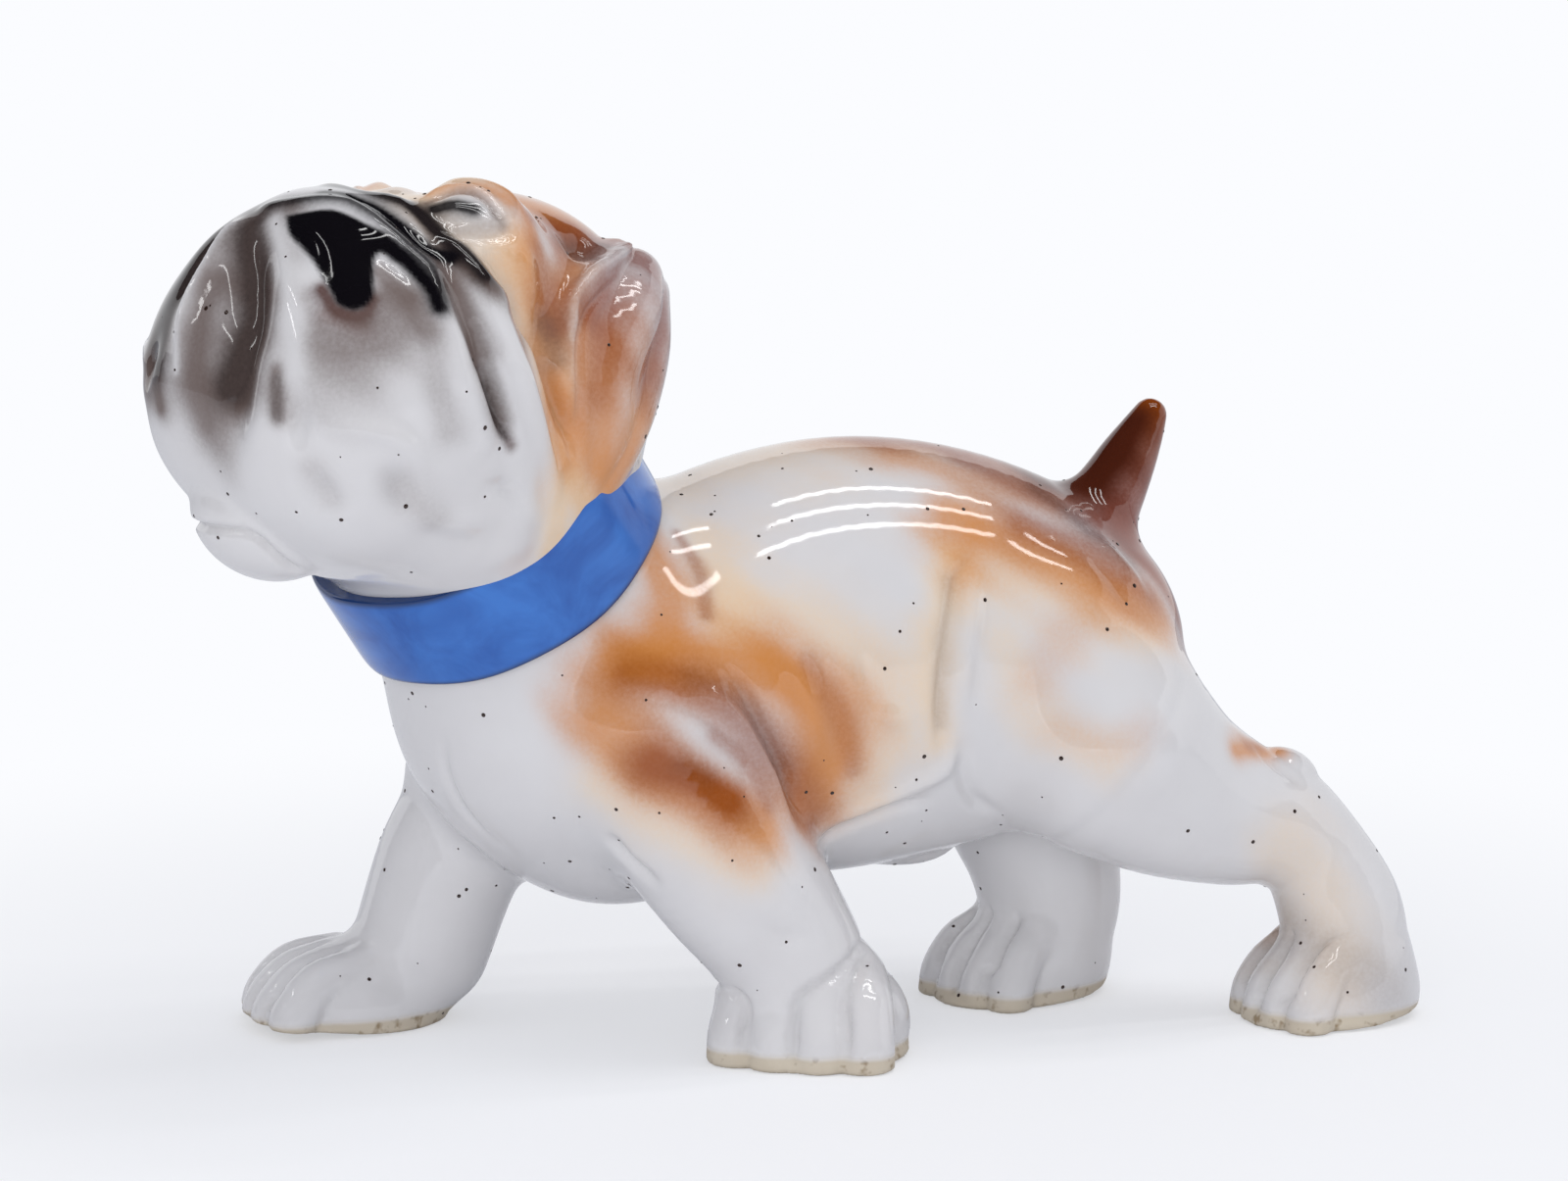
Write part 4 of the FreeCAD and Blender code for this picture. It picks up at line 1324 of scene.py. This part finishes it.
studioView = dict(
    azimuth=-16.0,
    elevation=8.0,
    distance=590.0,
    lens=105.0,
    aim=(1.2, 5.0, 56.0),
)


def placeCamera():
    azimuth = math.radians(studioView["azimuth"])
    elevation = math.radians(studioView["elevation"])
    level = math.cos(elevation)
    back = Vector((math.sin(azimuth) * level, -math.cos(azimuth) * level, math.sin(elevation)))
    aim = Vector((np.array(studioView["aim"]) + home) * mm)
    camera = addObject("studioCamera", bpy.data.cameras.new("studioCamera"))
    camera.data.lens = studioView["lens"]
    camera.data.sensor_width = 36.0
    camera.data.clip_start = 0.01
    camera.location = aim + back * studioView["distance"] * mm
    camera.rotation_euler = back.to_track_quat("Z", "Y").to_euler()
    bpy.context.scene.camera = camera


# place and target, width and length, watts, the way the length runs, and whether the glaze mirrors it
lamps = dict(
    stripFront=((250, -260, 640), (250, 0, 50), (30, 480), 0.5, (1, 0, 0), True),
    stripMiddle=((250, -120, 680), (250, 0, 50), (30, 480), 0.5, (1, 0, 0), True),
    stripBack=((250, 20, 700), (250, 0, 50), (30, 480), 0.5, (1, 0, 0), True),
    headLow=((-640, -60, 400), (-60, -10, 85), (14, 240), 0.10, (0, 1, 0), True),
    headHigh=((-560, -60, 520), (-60, -10, 85), (14, 240), 0.10, (0, 1, 0), True),
    softFront=((-300, -700, 170), (-10, 0, 50), (500, 380), 2.2, (700, -290, 0), False),
)


def placeLamps():
    for name, (place, target, size, watts, across, mirrors) in lamps.items():
        data = bpy.data.lights.new(name, "AREA")
        data.shape = "RECTANGLE"
        data.size, data.size_y = size[1] * mm, size[0] * mm
        data.energy = watts
        lamp = addObject(name, data)
        lamp.visible_glossy = mirrors
        lamp.location = Vector(place) * mm
        depth = (Vector(place) - Vector(target)).normalized()
        upward = depth.cross(Vector(across)).normalized()
        lamp.rotation_euler = Matrix((upward.cross(depth), upward, depth)).transposed().to_euler()


studio = dict(
    light="#F6F8FF",
    brightness=0.57,
    backdrop="#FBFCFF",
    paper="#F4F5F8",
    cloth="#26262A",
    floorSize=3.0,
    fade=(0.05, 0.24, 0.5),  # where the floor starts to fade, where it ends, and how much at the start
)


def makeWorld():
    world = bpy.data.worlds.new("paleStudio")
    bpy.context.scene.world = world
    world.use_nodes = True
    tree = world.node_tree
    tree.nodes.clear()
    path = addNode(tree, "ShaderNodeLightPath").outputs
    seen = worked(tree, "ADD", path["Is Camera Ray"], path["Is Glossy Ray"], use_clamp=True)
    seen = worked(tree, "ADD", seen, path["Is Transmission Ray"], use_clamp=True)
    lit = dict(Color=linear(studio["light"]), Strength=studio["brightness"])
    light = addNode(tree, "ShaderNodeBackground", None, lit).outputs[0]
    pale = dict(Color=linear(studio["backdrop"]), Strength=1.0)
    shown = addNode(tree, "ShaderNodeBackground", None, pale).outputs[0]
    finishSurface(tree, addNode(tree, "ShaderNodeMixShader", None, {0: seen, 1: light, 2: shown}), "World")


def addStage(name, corners, faces, material):
    mesh = bpy.data.meshes.new(name)
    mesh.from_pydata(corners, [], faces)
    mesh.materials.append(material)
    thing = addObject(name, mesh)
    return thing


def makeFloor():
    material, tree = startMaterial("White paper sweep")
    place = addNode(tree, "ShaderNodeTexCoord").outputs["Object"]
    span = addNode(tree, "ShaderNodeVectorMath", dict(operation="LENGTH"), {0: place}).outputs["Value"]
    far = ranged(tree, span, *studio["fade"], interpolation_type="SMOOTHSTEP")
    path = addNode(tree, "ShaderNodeLightPath").outputs
    seen = worked(tree, "MULTIPLY", far, path["Is Camera Ray"])
    paper = addNode(tree, "ShaderNodeBsdfDiffuse", None, dict(Color=linear(studio["paper"]))).outputs[0]
    pale = dict(Color=linear(studio["backdrop"]), Strength=1.0)
    glow = addNode(tree, "ShaderNodeEmission", None, pale).outputs[0]
    finishSurface(tree, addNode(tree, "ShaderNodeMixShader", None, {0: seen, 1: paper, 2: glow}))
    size = studio["floorSize"]
    corners = [(-size, -size, 0), (size, -size, 0), (size, size, 0), (-size, size, 0)]
    addStage("studioFloor", corners, [(0, 1, 2, 3)], material)


def makeDarkRoom():
    # an unlit wall and ceiling on the camera side: the black nose stays black, the glaze looks wet
    material, tree = startMaterial("Black studio cloth")
    finishSurface(tree, addNode(tree, "ShaderNodeBsdfDiffuse", None, dict(Color=linear(studio["cloth"]))))
    x, y, low, high, deep = 1.3, -0.9, -0.1, 0.95, 1.1
    corners = [(-x, y, low), (x, y, low), (x, y, high), (-x, y, high), (x, deep, high), (-x, deep, high)]
    corners += [(-x, y, low), (-x, deep, low)]
    room = addStage("darkRoom", corners, [(0, 1, 2, 3), (3, 2, 4, 5), (6, 3, 5, 7)], material)
    room.visible_camera = False
    room.visible_diffuse = False
    room.visible_shadow = False


bpy.context.scene.view_settings.view_transform = "Standard"
makeDarkRoom()
placeCamera()
placeLamps()
makeWorld()
makeFloor()
print("studio set")

whiteGlaze = glaze("White earthenware, airbrushed and gloss glazed")
bodySkin, bodyLumps = modelBody()
headSkin, headLumps = modelHead()
workBody(bodySkin)
workHead(headSkin)
# the glaze is wiped off the soles
bareness = (body["bareBelow"] - bodySkin.points[:, 2]) / body["bareFade"]
bodySkin.dust("bare", np.clip(bareness, 0, 1))
print("colours airbrushed")
partSkin(bodySkin, labelFaces(bodySkin, bodyLumps, "torso", bodyPieces), bodyPieces, whiteGlaze)
partSkin(headSkin, labelFaces(headSkin, headLumps, "skull", headPieces), headPieces, whiteGlaze)
makeCollar(cobaltGlaze())
speckFinish = ironSpeck()
scatterSpecks("body_specks", bodySkin, speckFinish)
scatterSpecks("head_specks", headSkin, speckFinish)
